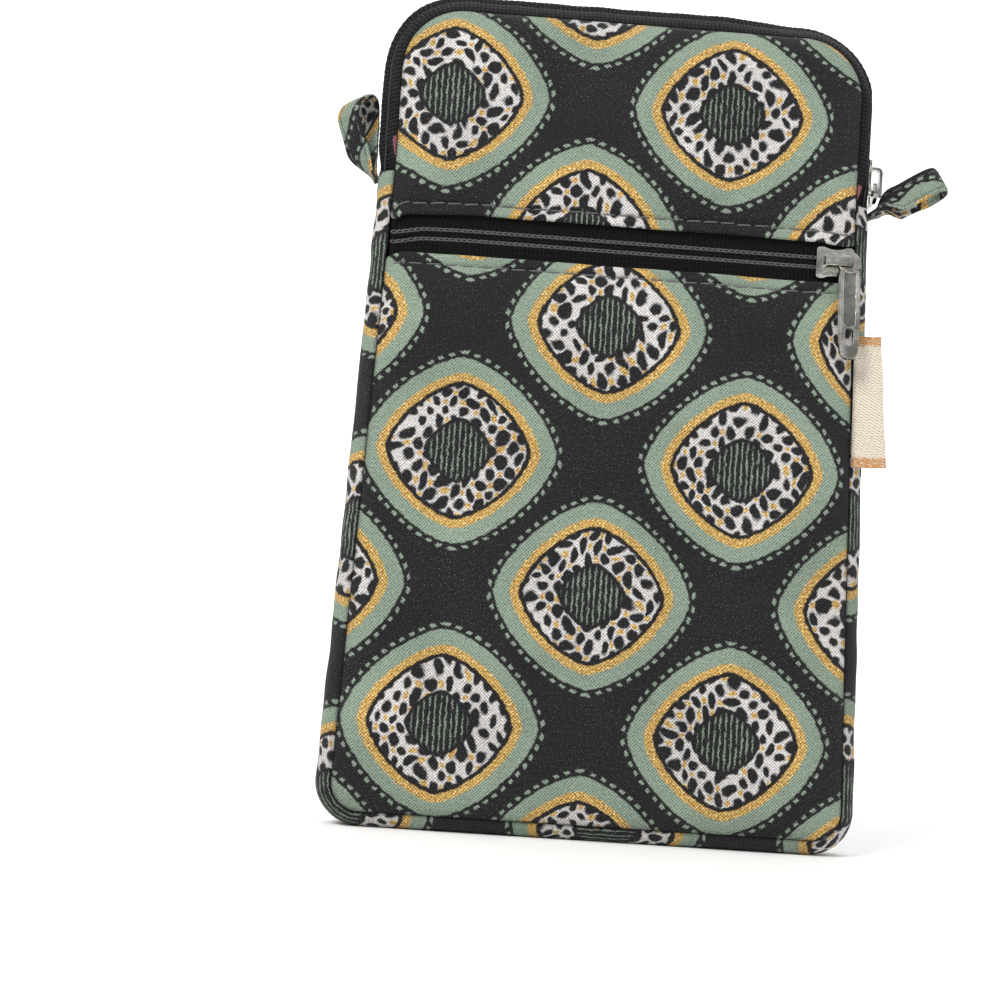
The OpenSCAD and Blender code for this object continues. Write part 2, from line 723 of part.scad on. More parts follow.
module pocket_coil_lower() {
    pocket_coil(-1);
}

module pocket_slider() {
    color(nickel) translate([pocket_slider_x, tape_y, zip_z]) rotate([90, 0, 0]) slider();
}

module pocket_puller() {
    color(nickel) translate([pocket_slider_x, tape_y, zip_z]) rotate([90, 0, 0])
        translate([leg_x, 0, eye_z]) puller(puller_lean);
}

module left_loop() {
    color(canvas) translate([-root_x, 0, loop_z]) rotate([0, -left_lean, 0]) strap_loop();
}

module right_loop() {
    color(canvas) translate([root_x, 0, loop_z]) rotate([0, right_lean, 0]) strap_loop();
}

module left_loop_tail() {
    color(canvas) mirror([1, 0, 0]) strap_tail();
}

module right_loop_tail() {
    color(canvas) strap_tail();
}

// Folded label standing out of the right front seam, its fold outermost
module woven_label() {
    color(label_cream)
        translate([seam_x(label_z) + label_root, -seam_y - fabric_t + label_ply / 2, label_z])
            rotate([0, -flare, 0]) rotate([0, 0, -label_lean])
                translate([0, 0, -label_h / 2]) linear_extrude(label_h) difference() {
                    label_fold(label_t / 2);
                    label_fold(label_slack / 2);
                }
}
module label_fold(half_t) {
    translate([-label_root / 2, -half_t]) square([label_w - label_t / 2 + label_root / 2, 2 * half_t]);
    translate([label_w - label_t / 2, 0]) circle(half_t);
}

front_upper_panel();
front_lower_panel();
back_panel();
edge_band();
front_upper_filling();
front_lower_filling();
back_filling();
band_lining();
back_lining();
pocket_front_lining();
pocket_back_lining();
main_tape_front();
main_tape_back();
main_coil_front();
main_coil_back();
main_slider();
main_puller();
pocket_tape_upper();
pocket_tape_lower();
pocket_coil_upper();
pocket_coil_lower();
pocket_slider();
pocket_puller();
left_loop();
right_loop();
left_loop_tail();
right_loop_tail();
woven_label();
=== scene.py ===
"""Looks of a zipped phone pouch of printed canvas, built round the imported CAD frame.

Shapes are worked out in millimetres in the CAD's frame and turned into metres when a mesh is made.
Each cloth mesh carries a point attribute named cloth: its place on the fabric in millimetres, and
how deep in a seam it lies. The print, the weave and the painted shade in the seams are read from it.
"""

import math

import bmesh
import bpy
import numpy as np
from mathutils import Matrix, Vector


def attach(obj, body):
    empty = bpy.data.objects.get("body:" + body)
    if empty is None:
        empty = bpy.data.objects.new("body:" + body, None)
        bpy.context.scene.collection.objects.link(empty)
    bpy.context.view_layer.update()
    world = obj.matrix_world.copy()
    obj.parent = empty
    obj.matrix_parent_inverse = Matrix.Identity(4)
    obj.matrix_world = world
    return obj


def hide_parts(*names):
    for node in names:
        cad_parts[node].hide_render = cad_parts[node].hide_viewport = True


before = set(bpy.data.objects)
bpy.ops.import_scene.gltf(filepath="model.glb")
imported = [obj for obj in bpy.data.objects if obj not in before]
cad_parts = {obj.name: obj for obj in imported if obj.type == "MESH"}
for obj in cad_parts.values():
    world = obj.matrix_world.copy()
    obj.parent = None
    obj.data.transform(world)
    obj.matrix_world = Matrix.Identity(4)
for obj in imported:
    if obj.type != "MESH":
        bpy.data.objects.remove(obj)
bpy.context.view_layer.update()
MM = 0.001
TURN = 2 * math.pi

# -------- the CAD's own sizes, in mm
SEAM_Y = 8.0  # the front and back seams lie this far from the middle
SEAM_X_TOP, SEAM_X_BOTTOM = 53.0, 57.5
SEAM_Z_BOTTOM, SEAM_Z_TOP = 3.5, 186.5
LOOP_Z = 147.5  # above the strap loops the sides are upright, below them they flare
FLARE = math.atan((SEAM_X_BOTTOM - SEAM_X_TOP) / (LOOP_Z - SEAM_Z_BOTTOM))
TOP_R, BOTTOM_R, FOLD_R = 14.0, 6.5, 1.5
BOTTOM_CENTRE = (50.80, SEAM_Z_BOTTOM + BOTTOM_R)
ZIP_Z, ZIP_GAP = 134.5, 9.2
UPPER_Z, LOWER_Z = ZIP_Z + ZIP_GAP / 2, ZIP_Z - ZIP_GAP / 2
FABRIC, FRONT_RISE, BACK_RISE = 0.6, 2.5, 1.6
BAND_END_Z, MAIN_END_Z = 146.6, 148.4
SECTION_R, SECTION_N, FLAT_Y = 4.773, -1.273, 3.4  # the edge band's rounding and its flat
BAND_INSIDE, LINING_FACES = 1.12, (1.26, 1.54)  # depths under the band's face
TAPE_Y = -7.95
POCKET_SLIDER_X, MAIN_SLIDER_Z = 48.71, 156.4
ROOT_X = 57.3
COIL_PITCH = 1.33

# -------- sizes of the cloth's details, in mm
SEAM_ALLOWANCE = 0.6  # the cloth dips this far into a seam
STITCH_IN, STITCH_PITCH = 2.5, 3.9  # the topstitching's distance from a folded edge, and its pitch
ROW_Y, ROW_V = 4.15, 1.1  # the chain stitches' distance from the middle of the main and the pocket zip
EDGE_STITCH = 2.35  # the loops' stitching, from the middle of the strip
THREAD_R = 0.13
LABEL_HALF = 15.0  # half the woven label's length
RING_SPACING = 1.3
# the rings of points that make up a panel lie this far inside its outline
RING_INSETS = (0, 0.04, 0.12, 0.22, 0.34, 0.48, 0.65, 0.85, 1.1, 1.4, 1.7, 2.0, 2.25, 2.5, 2.75, 3.0, 3.4,
               3.9, 4.5, 5.2, 6.0, 7.0, 8.1, 9.3, 10.6, 12.0, 13.4)


def seam_x(z):
    return SEAM_X_TOP + np.maximum(0, LOOP_Z - z) * math.tan(FLARE)


def clamp(t):
    return np.clip(t, 0, 1)


def smooth(t):
    t = clamp(t)
    return t * t * (3 - 2 * t)


def bell(v, centre, width):
    return np.exp(-np.square((v - centre) / width))


def fading(v, reach):
    """1 at 0 and below, then falling off over this reach."""
    return np.exp(-np.clip(v, 0, 99) / reach)


def unit(v):
    return v / np.linalg.norm(v, axis=-1, keepdims=True)


def run_length(points):
    """The distance along a line of points at each of them."""
    return np.r_[0, np.cumsum(np.linalg.norm(np.diff(points, axis=0), axis=1))]


def resample(at, along, values):
    """Columns of values, known at the distances along, at other distances."""
    return np.stack([np.interp(at, along, column) for column in values.T], -1)


def waves(x, y, scale, seed, count=7):
    """Smooth seeded unevenness of about -1 to 1, in waves of roughly this length."""
    rng = np.random.default_rng(seed)
    circle = 6.283
    total = 0.0
    for _ in range(count):
        turn, size, phase = rng.uniform(0, circle), rng.uniform(0.7, 1.4), rng.uniform(0, circle)
        k = circle / scale * size
        total = total + np.sin(k * (x * math.cos(turn) + y * math.sin(turn)) + phase)
    return total / math.sqrt(2 * count)


# -------- meshes
def spread(a, b, c=0.0):
    """Three numbers at every point of a grid. Each is given as one number, a row, a column or a whole grid."""
    return np.stack(np.broadcast_arrays(a, b, c), -1)


class Shape:
    """Points, faces and cloth coordinates of one mesh, gathered from grids."""

    def __init__(self):
        self.points, self.cloth, self.faces, self.count = [], [], [], 0

    def grid(self, points, cloth, ends="filled"):
        """Rows of points, each closed on itself; the first and last row are filled, left open or joined."""
        rows, cols = points.shape[:2]
        start, last = self.count, self.count + (rows - 1) * cols
        r, c = np.meshgrid(np.arange(rows if ends == "joined" else rows - 1), np.arange(cols), indexing="ij")
        r2, c2 = (r + 1) % rows, (c + 1) % cols
        quads = np.stack([r * cols + c, r2 * cols + c, r2 * cols + c2, r * cols + c2], -1).reshape(-1, 4)
        self.faces.extend((quads + start).tolist())
        if ends == "filled":
            self.faces += [list(range(start, start + cols)), list(range(last + cols - 1, last - 1, -1))]
        self.points.append(points.reshape(-1, 3))
        self.cloth.append(cloth.reshape(-1, 3))
        self.count += rows * cols
        return self

    def make(self, name, material, slot, replaced=(), body="pouch", merge=False, sharp=None):
        mesh = bpy.data.meshes.new(name)
        mesh.from_pydata((np.concatenate(self.points) * MM).tolist(), [], self.faces)
        attribute = mesh.attributes.new("cloth", "FLOAT_VECTOR", "POINT")
        attribute.data.foreach_set("vector", np.concatenate(self.cloth).astype(np.float32).ravel())
        work = bmesh.new()
        work.from_mesh(mesh)
        if merge:
            bmesh.ops.remove_doubles(work, verts=work.verts, dist=2e-6)
        bmesh.ops.recalc_face_normals(work, faces=work.faces)
        work.to_mesh(mesh)
        work.free()
        mesh.polygons.foreach_set("use_smooth", [True] * len(mesh.polygons))
        if sharp is not None:
            mesh.set_sharp_from_angle(angle=math.radians(sharp))
        mesh.materials.append(material)
        mesh.update()
        piece = add_object(name, mesh)
        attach(piece, body)
        if replaced:
            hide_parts(*replaced)
        return piece


def add_object(name, data):
    made = bpy.data.objects.new(name, data)
    bpy.context.scene.collection.objects.link(made)
    return made


def tubes(shape, paths, up, radii, sides, closed):
    """Round tubes along many paths, which are (count, points, 3); one list of radii serves them all."""
    along = unit(np.roll(paths, -1, 1) - np.roll(paths, 1, 1) if closed else np.gradient(paths, axis=1))
    side = unit(np.cross(along, np.broadcast_to(up, paths.shape)))
    out = np.cross(side, along)
    turn = np.arange(sides) * TURN / sides
    radii = np.broadcast_to(np.asarray(radii, float), paths.shape[1:2])[None, :, None, None]
    around = np.cos(turn)[:, None] * side[:, :, None] + np.sin(turn)[:, None] * out[:, :, None]
    points = paths[:, :, None] + radii * around
    length = np.cumsum(np.linalg.norm(np.diff(paths, axis=1, prepend=paths[:, :1]), axis=-1), 1)
    cloth = spread(length[:, :, None], turn * THREAD_R)
    for tube, its_cloth in zip(points, cloth):
        shape.grid(tube, its_cloth, "joined" if closed else "filled")
    return shape


# -------- materials
def srgb(r, g, b):
    """A colour given in 0 to 255 as an RGBA tuple for a shader."""
    def linear(v):
        v /= 255
        return v / 12.92 if v <= 0.04045 else ((v + 0.055) / 1.055) ** 2.4
    return (linear(r), linear(g), linear(b), 1.0)


def operator(operation, swapped=False):
    """One of Python's operators as a Math node."""
    def apply(a, b=None):
        operands = [value for value in ((b, a) if swapped else (a, b)) if value is not None]
        return a.shader.math(operation, *operands)
    return apply


class Value:
    """A shader's number, vector or colour. Python's operators on it make Math nodes."""

    def __init__(self, shader, socket):
        self.shader, self.socket = shader, socket

    def clamped(self):
        self.socket.node.use_clamp = True
        return self

    __add__, __mul__, __truediv__, __pow__ = (operator(o) for o in ("ADD", "MULTIPLY", "DIVIDE", "POWER"))
    __sub__, __rsub__, __abs__ = operator("SUBTRACT"), operator("SUBTRACT", True), operator("ABSOLUTE")


class Shader:
    """Short calls for building the nodes of one material, or of the world."""

    def __init__(self, owner):
        owner.use_nodes = True
        self.owner, self.tree = owner, owner.node_tree

    @classmethod
    def begin(cls, name, base, roughness, **sockets):
        s = cls(bpy.data.materials.new(name))
        s.put(base, roughness, **sockets)
        return s

    def fill(self, node, inputs):
        """Links values to a node's inputs, and sets plain numbers on the inputs themselves."""
        for key, value in inputs.items():
            if isinstance(value, Value):
                self.tree.links.new(value.socket, node.inputs[key])
            else:
                node.inputs[key].default_value = value

    def put(self, base, roughness, **sockets):
        """Gives the surface its colour, roughness and whatever else is named, and returns the material."""
        named = {key.replace("_", " "): value for key, value in sockets.items()}
        self.fill(self.tree.nodes["Principled BSDF"], {"Base Color": base, "Roughness": roughness, **named})
        return self.owner

    def node(self, kind, inputs, out=0, **settings):
        made = self.tree.nodes.new("ShaderNode" + kind)
        for key, value in settings.items():
            setattr(made, key, value)
        self.fill(made, dict(inputs))
        return Value(self, made.outputs[out])

    def split(self, vector):
        return [Value(self, part) for part in self.node("SeparateXYZ", {0: vector}).socket.node.outputs]

    def math(self, operation, *values):
        return self.node("Math", enumerate(values), operation=operation)

    def wave(self, value, pitch):
        return self.math("SINE", value * (TURN / pitch))

    def mix(self, factor, a, b, blend="MIX"):
        return self.node("Mix", {0: factor, 6: a, 7: b}, 2, data_type="RGBA", blend_type=blend)

    def shaded(self, colour, shade):
        return self.mix(1.0, colour, self.vector(shade, shade, shade), "MULTIPLY")

    def with_painted_seam_shade(self, colour, depth, amount):
        """A colour with painted shade: darker by this amount where the cloth lies deep in a seam."""
        return self.shaded(colour, (depth * -amount + 1.0).clamped())

    def vector(self, x, y, z=0.0):
        return self.node("CombineXYZ", {0: x, 1: y, 2: z})

    def noise(self, vector, scale, detail=2.0, rough=0.55, out="Fac"):
        inputs = {"Vector": vector, "Scale": scale, "Detail": detail, "Roughness": rough}
        return self.node("TexNoise", inputs, out)

    def streaks(self, u, v, scale_u, scale_v, detail=2.0):
        """Noise that is drawn out along one direction of the cloth."""
        return self.noise(self.vector(u * scale_u, v * scale_v), 1.0, detail)

    def chance(self, cell, out="Value"):
        return self.node("TexWhiteNoise", {0: cell}, out, noise_dimensions="3D")

    def below(self, value, limit, edge):
        """1 where the value is under the limit, with a soft edge this wide."""
        return ((limit - value) * (1 / edge) + 0.5).clamped()

    def within(self, value, low, high, start=0.0, end=1.0):
        """From start to end as the value goes from low to high."""
        return self.node("MapRange", {0: value, 1: low, 2: high, 3: start, 4: end})

    def bump(self, height, distance, strength=1.0, **normal):
        return self.node("Bump", {"Height": height, "Distance": distance, "Strength": strength, **normal})

    def cloth(self):
        return self.split(self.node("Attribute", {}, "Vector", attribute_name="cloth"))

    def weave(self, u, v, pitch):
        """Plain weave as a height from 0 to 1."""
        return self.wave(u, pitch) * self.wave(v, pitch) * 0.5 + 0.5


def lattice(s, u, v, width, height, power, varied=False):
    """Half-drop lattice of rounded diamonds, each turned and stretched a little if varied.

    Gives the distance from the nearest centre, 0.5 at its side tip, the cell, and the place round it.
    """
    a, b = u / width, v / height
    p, q = a + b, a - b
    cell_p, cell_q = s.math("ROUND", p), s.math("ROUND", q)
    p, q = p - cell_p, q - cell_q
    x, y = (p + q) * 0.5, (p - q) * 0.5
    if varied:
        turn, stretch, _ = s.split(s.chance(s.vector(cell_p, cell_q, 5.0), "Color"))
        turn, stretch = turn * 1.5 - 0.75, stretch * 0.5 + 0.78
        x, y = y * turn + x, y - x * turn
        x, y = x * stretch, y / stretch
    x, y = abs(x), abs(y)
    return (x ** power + y ** power) ** (1 / power), s.vector(cell_p, cell_q), x - y


def canvas_material():
    """Printed cotton canvas: rounded diamonds in a half-drop repeat on a charcoal ground."""
    s = Shader.begin("printed_canvas", (0.05, 0.05, 0.05, 1), 0.62,
                     Specular_IOR_Level=0.13, Sheen_Weight=0.04, Sheen_Roughness=0.5)
    charcoal, sage = srgb(28, 27, 29), srgb(127, 142, 127)
    gold, pale_gold, dark_gold = srgb(183, 147, 80), srgb(226, 203, 148), srgb(136, 100, 44)
    white, bare_cotton = srgb(193, 190, 188), srgb(176, 175, 176)
    repeat_u, repeat_v, small_u, small_v = 64.0, 61.0, 4.3, 5.0
    u0, v0, depth = s.cloth()
    plane = s.vector(u0, v0)
    # the hand-drawn edges wander
    wobble, fine = s.split(s.noise(plane, 0.75, 2.0, out="Color")), s.split(s.noise(plane, 3.2, 1.0, out="Color"))
    u, v = [(w * 0.9 - 0.45) + (f * 0.4 + at) for w, f, at in zip(wobble, fine, (u0, v0))]
    far, _, round_it = lattice(s, u, v, repeat_u, repeat_v, 1.5)
    far = far * repeat_u
    rim_out, rim_in, sage_disc, gold_disc, line_disc, field, heart = (
        s.below(far, radius, 0.35) for radius in (23.6, 22.8, 22.0, 18.4, 16.4, 15.3, 7.8))
    colour = s.mix(sage_disc, charcoal, sage)
    # a fine broken line of sage in the ground, outside the bands
    dash = s.within(s.math("SINE", round_it * 118.0), -0.1, 0.2)
    colour = s.mix(rim_out * (1.0 - rim_in) * dash, colour, sage)
    colour = s.mix(line_disc, s.mix(gold_disc, colour, gold), charcoal)
    # small diamonds on the pale field, each a little different, with gold ones between them
    loose_u, loose_v, _ = s.split(s.noise(plane, 0.11, 1.0, out="Color"))
    small_at = loose_u * 6.0 + u, loose_v * 6.0 + v
    near, cell, _ = lattice(s, *small_at, small_u, small_v, 1.75, True)
    spot = s.below(near, s.chance(cell) * 0.10 + 0.265, 1 / 9)
    dot, dot_cell, _ = lattice(s, small_at[0] + small_u / 2, small_at[1], small_u, small_v, 1.6)
    speck = s.below(dot, 0.15, 0.08) * s.math("GREATER_THAN", s.chance(dot_cell), 0.45)
    colour = s.mix(field, colour, s.mix(speck, s.mix(spot, white, charcoal), gold))
    # dark heart with brushed sage strokes
    colour = s.mix(heart, colour, charcoal)
    stroke = abs(s.wave(u, 2.5)) + s.streaks(u0, v0, 2.4, 0.35, 3.0)
    colour = s.mix(s.below(far, 6.7, 0.8) * s.within(stroke, 1.33, 1.46) * 0.8, colour, sage)
    # the gold ink glitters
    ink = s.math("MAXIMUM", gold_disc * (1.0 - line_disc), speck * (field - heart).clamped())
    glint = s.noise(plane, 1.9, 3.0, 0.8)
    colour = s.mix(ink * s.within(glint, 0.52, 0.66), colour, pale_gold)
    colour = s.mix(ink * s.within(glint, 0.47, 0.36), colour, dark_gold)
    # threads, broad random tone, and the pale cotton that shows between them, more in broad random patches
    weave = s.weave(u0, v0, 0.78)
    grain = s.noise(plane, 1.9, 3.0, 0.75)
    slub = s.streaks(u0, v0, 0.35, 2.2)
    cloud = s.noise(plane, 0.05, 2.0)
    shade = weave * 0.75 + (grain * 1.7 - 0.24) + (slub * 0.35 + (cloud * 0.6 - 0.475))
    fade = s.within(s.noise(plane, 0.04, 3.0, 0.6), 0.36, 0.64)
    bare = s.within(weave, 0.5, 1.0) * s.within(grain, 0.52, 0.68) * (fade * 0.34 + 0.12)
    colour = s.mix(bare, s.shaded(colour, shade), bare_cotton)
    return s.put(s.with_painted_seam_shade(colour, depth, 0.7), grain * 0.3 + (ink * -0.2 + 0.46),
                 Metallic=ink * (s.within(glint, 0.4, 0.6) * 0.55),
                 Normal=s.bump(weave + (grain * 0.9 + slub * 0.5), 0.0003, 0.9))


def lining_material():
    s = Shader.begin("lining_cloth", srgb(140, 66, 82), 0.7, Sheen_Weight=0.2, Sheen_Roughness=0.4)
    u, v, depth = s.cloth()
    plane = s.vector(u, v)
    weave, grain = s.weave(u, v, 0.36), s.noise(plane, 5.0, 2.0)
    colour = s.mix(s.within(s.noise(plane, 0.35, 3.0), 0.3, 0.7), srgb(126, 58, 74), srgb(156, 78, 94))
    colour = s.mix(weave * 0.35, colour, srgb(96, 42, 56))
    colour = s.mix(s.within(grain, 0.6, 0.8) * 0.3, colour, srgb(190, 130, 140))
    return s.put(s.with_painted_seam_shade(colour, depth, 0.5), grain * 0.25 + 0.55, Normal=s.bump(weave + grain, 0.00008, 0.6))


def tape_material(name, dark, light):
    """Woven zip tape: fine ribs across its length, which the cloth attribute's first number follows."""
    s = Shader.begin(name, dark, 0.6, Specular_IOR_Level=0.1)
    u, v, depth = s.cloth()
    rib, row = s.wave(u, 0.95) * 0.5 + 0.5, s.wave(v, 1.1) * 0.5 + 0.5
    grain = s.noise(s.vector(u, v), 2.2, 3.0, 0.75)
    face = rib * (row * 0.6 + 0.4)
    colour = s.mix(face * s.within(grain, 0.42, 0.62), dark, light)
    return s.put(s.with_painted_seam_shade(colour, depth, 0.8), grain * 0.3 + 0.5, Normal=s.bump(face + grain * 0.8, 0.0003, 0.9))


def thread_material(name, colour, pale):
    """Twisted sewing thread."""
    s = Shader.begin(name, colour, 0.55, Sheen_Weight=0.2, Sheen_Roughness=0.4)
    u, v, _ = s.cloth()
    twist, fuzz = s.wave(v * 1.6 + u, 0.42), s.noise(s.vector(u, v), 6.0, 2.0)
    colour = s.mix(s.within(twist, -0.6, 1.0) * s.within(fuzz, 0.2, 0.8), colour, pale)
    return s.put(colour, fuzz * 0.3 + 0.4, Normal=s.bump(twist + fuzz, 0.00005, 0.7))


def nickel_material():
    """Tumbled nickel plate: soft scratches, worn edges that also carry a painted highlight, painted shade in its
    hollows and a little tarnish.
    """
    s = Shader.begin("nickel", srgb(165, 164, 156), 0.3, Metallic=1.0)
    place = s.node("TexCoord", {}, "Object")
    tarnish, fleck = s.noise(place, 190.0, 4.0, 0.6), s.noise(place, 2600.0, 3.0, 0.7)
    stretched = s.node("Mapping", {"Vector": place, "Scale": (9000.0, 2500.0, 900.0)})
    scratch = s.noise(stretched, 1.0, 3.0, 0.7)
    colour = s.mix(s.within(tarnish, 0.38, 0.64), srgb(206, 205, 197), srgb(124, 122, 115))
    colour = s.mix(s.within(fleck, 0.6, 0.75) * 0.5, colour, srgb(88, 86, 80))
    # painted shade: darker in the hollows, where pointiness is low
    painted_hollow_shade = s.within(s.node("NewGeometry", {}, "Pointiness"), 0.495, 0.45)
    colour = s.mix(painted_hollow_shade * 0.6, colour, srgb(92, 91, 86))
    # worn bright along its edges, with a painted highlight there too, where a rounded normal leaves the flat one
    rounded, flat = s.node("Bevel", {"Radius": 0.00022}, samples=6), s.node("NewGeometry", {}, "Normal")
    alike = s.node("VectorMath", {0: rounded, 1: flat}, "Value", operation="DOT_PRODUCT")
    colour = s.mix(s.within(alike, 0.99, 0.9), colour, srgb(226, 225, 219))
    uneven = s.bump(s.noise(place, 430.0, 2.0), 0.00016, 1.0)
    return s.put(colour, tarnish * 0.12 + (scratch * 0.12 + 0.04),
                 Normal=s.bump(scratch + fleck * 0.3, 0.00002, 0.5, Normal=uneven))


def coil_material():
    s = Shader.begin("zip_coil", srgb(26, 26, 28), 0.35, Coat_Weight=0.15)
    mottle = s.noise(s.node("TexCoord", {}, "Object"), 900.0, 3.0)
    return s.put(s.mix(s.within(mottle, 0.3, 0.7), srgb(20, 20, 22), srgb(44, 44, 47)), mottle * 0.3 + 0.22,
                 Normal=s.bump(mottle, 0.00003, 0.5))


def label_material():
    """Woven satin label: cream ground with a fine diagonal weave and coppery bands at both ends."""
    s = Shader.begin("woven_label", srgb(235, 226, 210), 0.5, Sheen_Weight=0.2, Sheen_Roughness=0.3)
    u, v, depth = s.cloth()
    grain = s.noise(s.vector(u, v), 3.0, 3.0, 0.7)
    diagonal, cross = s.wave(v * 1.7 + (grain * 0.9 + u), 1.2), s.wave(v, 0.6)
    ground = s.mix(s.within(diagonal + grain, 0.0, 1.5) * 0.55, srgb(228, 218, 202), srgb(176, 160, 138))
    # the bands begin raggedly, this far from the middle
    ragged = s.streaks(u, v, 3.4, 1.2) * 2.2 + 11.7
    band = 1.0 - s.below(abs(v - LABEL_HALF), ragged, 0.3)
    broken = s.within(s.streaks(u, v, 1.1, 3.0), 0.36, 0.5)
    colour = s.mix(band * (broken * 0.75 + 0.2), ground, srgb(188, 128, 62))
    colour = s.mix(s.within(cross, 0.2, 1.0) * 0.14, colour, srgb(140, 110, 80))
    return s.put(s.with_painted_seam_shade(colour, depth, 0.5), grain * 0.3 + 0.4,
                 Normal=s.bump(diagonal * 0.6 + (cross * 0.4 + grain), 0.00022, 0.9))


def floor_material():
    s = Shader.begin("studio_floor", (0.86, 0.86, 0.86, 1), 0.75)
    grain = s.noise(s.node("TexCoord", {}, "Object"), 60.0, 3.0)
    return s.put(s.mix(s.within(grain, 0.2, 0.8), (0.85, 0.85, 0.85, 1), (0.88, 0.88, 0.88, 1)), 0.75)


canvas = canvas_material()
lining = lining_material()
tape_black = tape_material("zip_tape", srgb(1, 1, 1), srgb(27, 26, 26))
# painted light: the main zip's tape is the same black tape as the pocket's, painted lighter all over for the overhead
# light on it
tape_painted_lighter = tape_material("main_zip_tape_painted_lighter", srgb(15, 15, 16), srgb(60, 60, 62))
chain_thread = thread_material("chain_thread", srgb(54, 56, 57), srgb(108, 110, 111))
dark_chain_thread = thread_material("dark_chain_thread", srgb(28, 29, 30), srgb(58, 59, 60))
seam_thread = thread_material("seam_thread", srgb(72, 71, 74), srgb(128, 127, 130))
nickel = nickel_material()
nylon = coil_material()
label_cloth = label_material()


# -------- padded panels
def inward(p, q):
    e = (np.array(q) - np.array(p)) / math.dist(p, q)
    return np.array([-e[1], e[0]])


def side_counts(corners, spacing):
    """Into how many parts each side of an outline is divided."""
    return [max(3, round(math.dist(p, q) / spacing)) for p, q in zip(corners, corners[1:] + corners[:1])]


def ring(corners, radii, steps, spans, inset):
    """The panel's outline drawn in by inset, with the same number of points at every inset."""
    count = len(corners)
    arcs = []
    for i, corner in enumerate(corners):
        n1, n2 = inward(corners[i - 1], corner), inward(corner, corners[(i + 1) % count])
        r = max(radii[i] - inset, 0.4) if steps[i] else 0.0
        centre = np.array(corner) + (inset + r) * (n1 + n2) / (1 + n1 @ n2)
        start, turn = math.atan2(-n1[1], -n1[0]), math.acos(min(1, n1 @ n2))
        angle = start + turn * np.linspace(0, 1, steps[i] + 1)
        arcs.append(centre + r * np.c_[np.cos(angle), np.sin(angle)])
    points = []
    for i, arc in enumerate(arcs):
        share = (np.arange(1, spans[i]) / spans[i])[:, None]
        points += [arc, arc[-1] * (1 - share) + arcs[(i + 1) % count][0] * share]
    return np.concatenate(points)


def seam_distance(x, z):
    """How far a point of a panel is from the pouch's seam."""
    ax = np.abs(x)
    d = np.minimum((seam_x(z) - ax) * math.cos(FLARE), np.minimum(SEAM_Z_TOP - z, z - SEAM_Z_BOTTOM))
    for cx, cz, r, up in ((SEAM_X_TOP - TOP_R, SEAM_Z_TOP - TOP_R, TOP_R, 1), (*BOTTOM_CENTRE, BOTTOM_R, -1)):
        d = np.where((ax > cx) & ((z - cz) * up > 0), np.minimum(d, r - np.hypot(ax - cx, z - cz)), d)
    return d


def end_dip(x, near, far, stretch=4.2):
    """How far something dips at the left end of the pocket zip: first gently, then more over a stretch by the seam."""
    return near * smooth((-x - 34) / 15) + far * smooth((-x - 53.5 + stretch) / stretch)


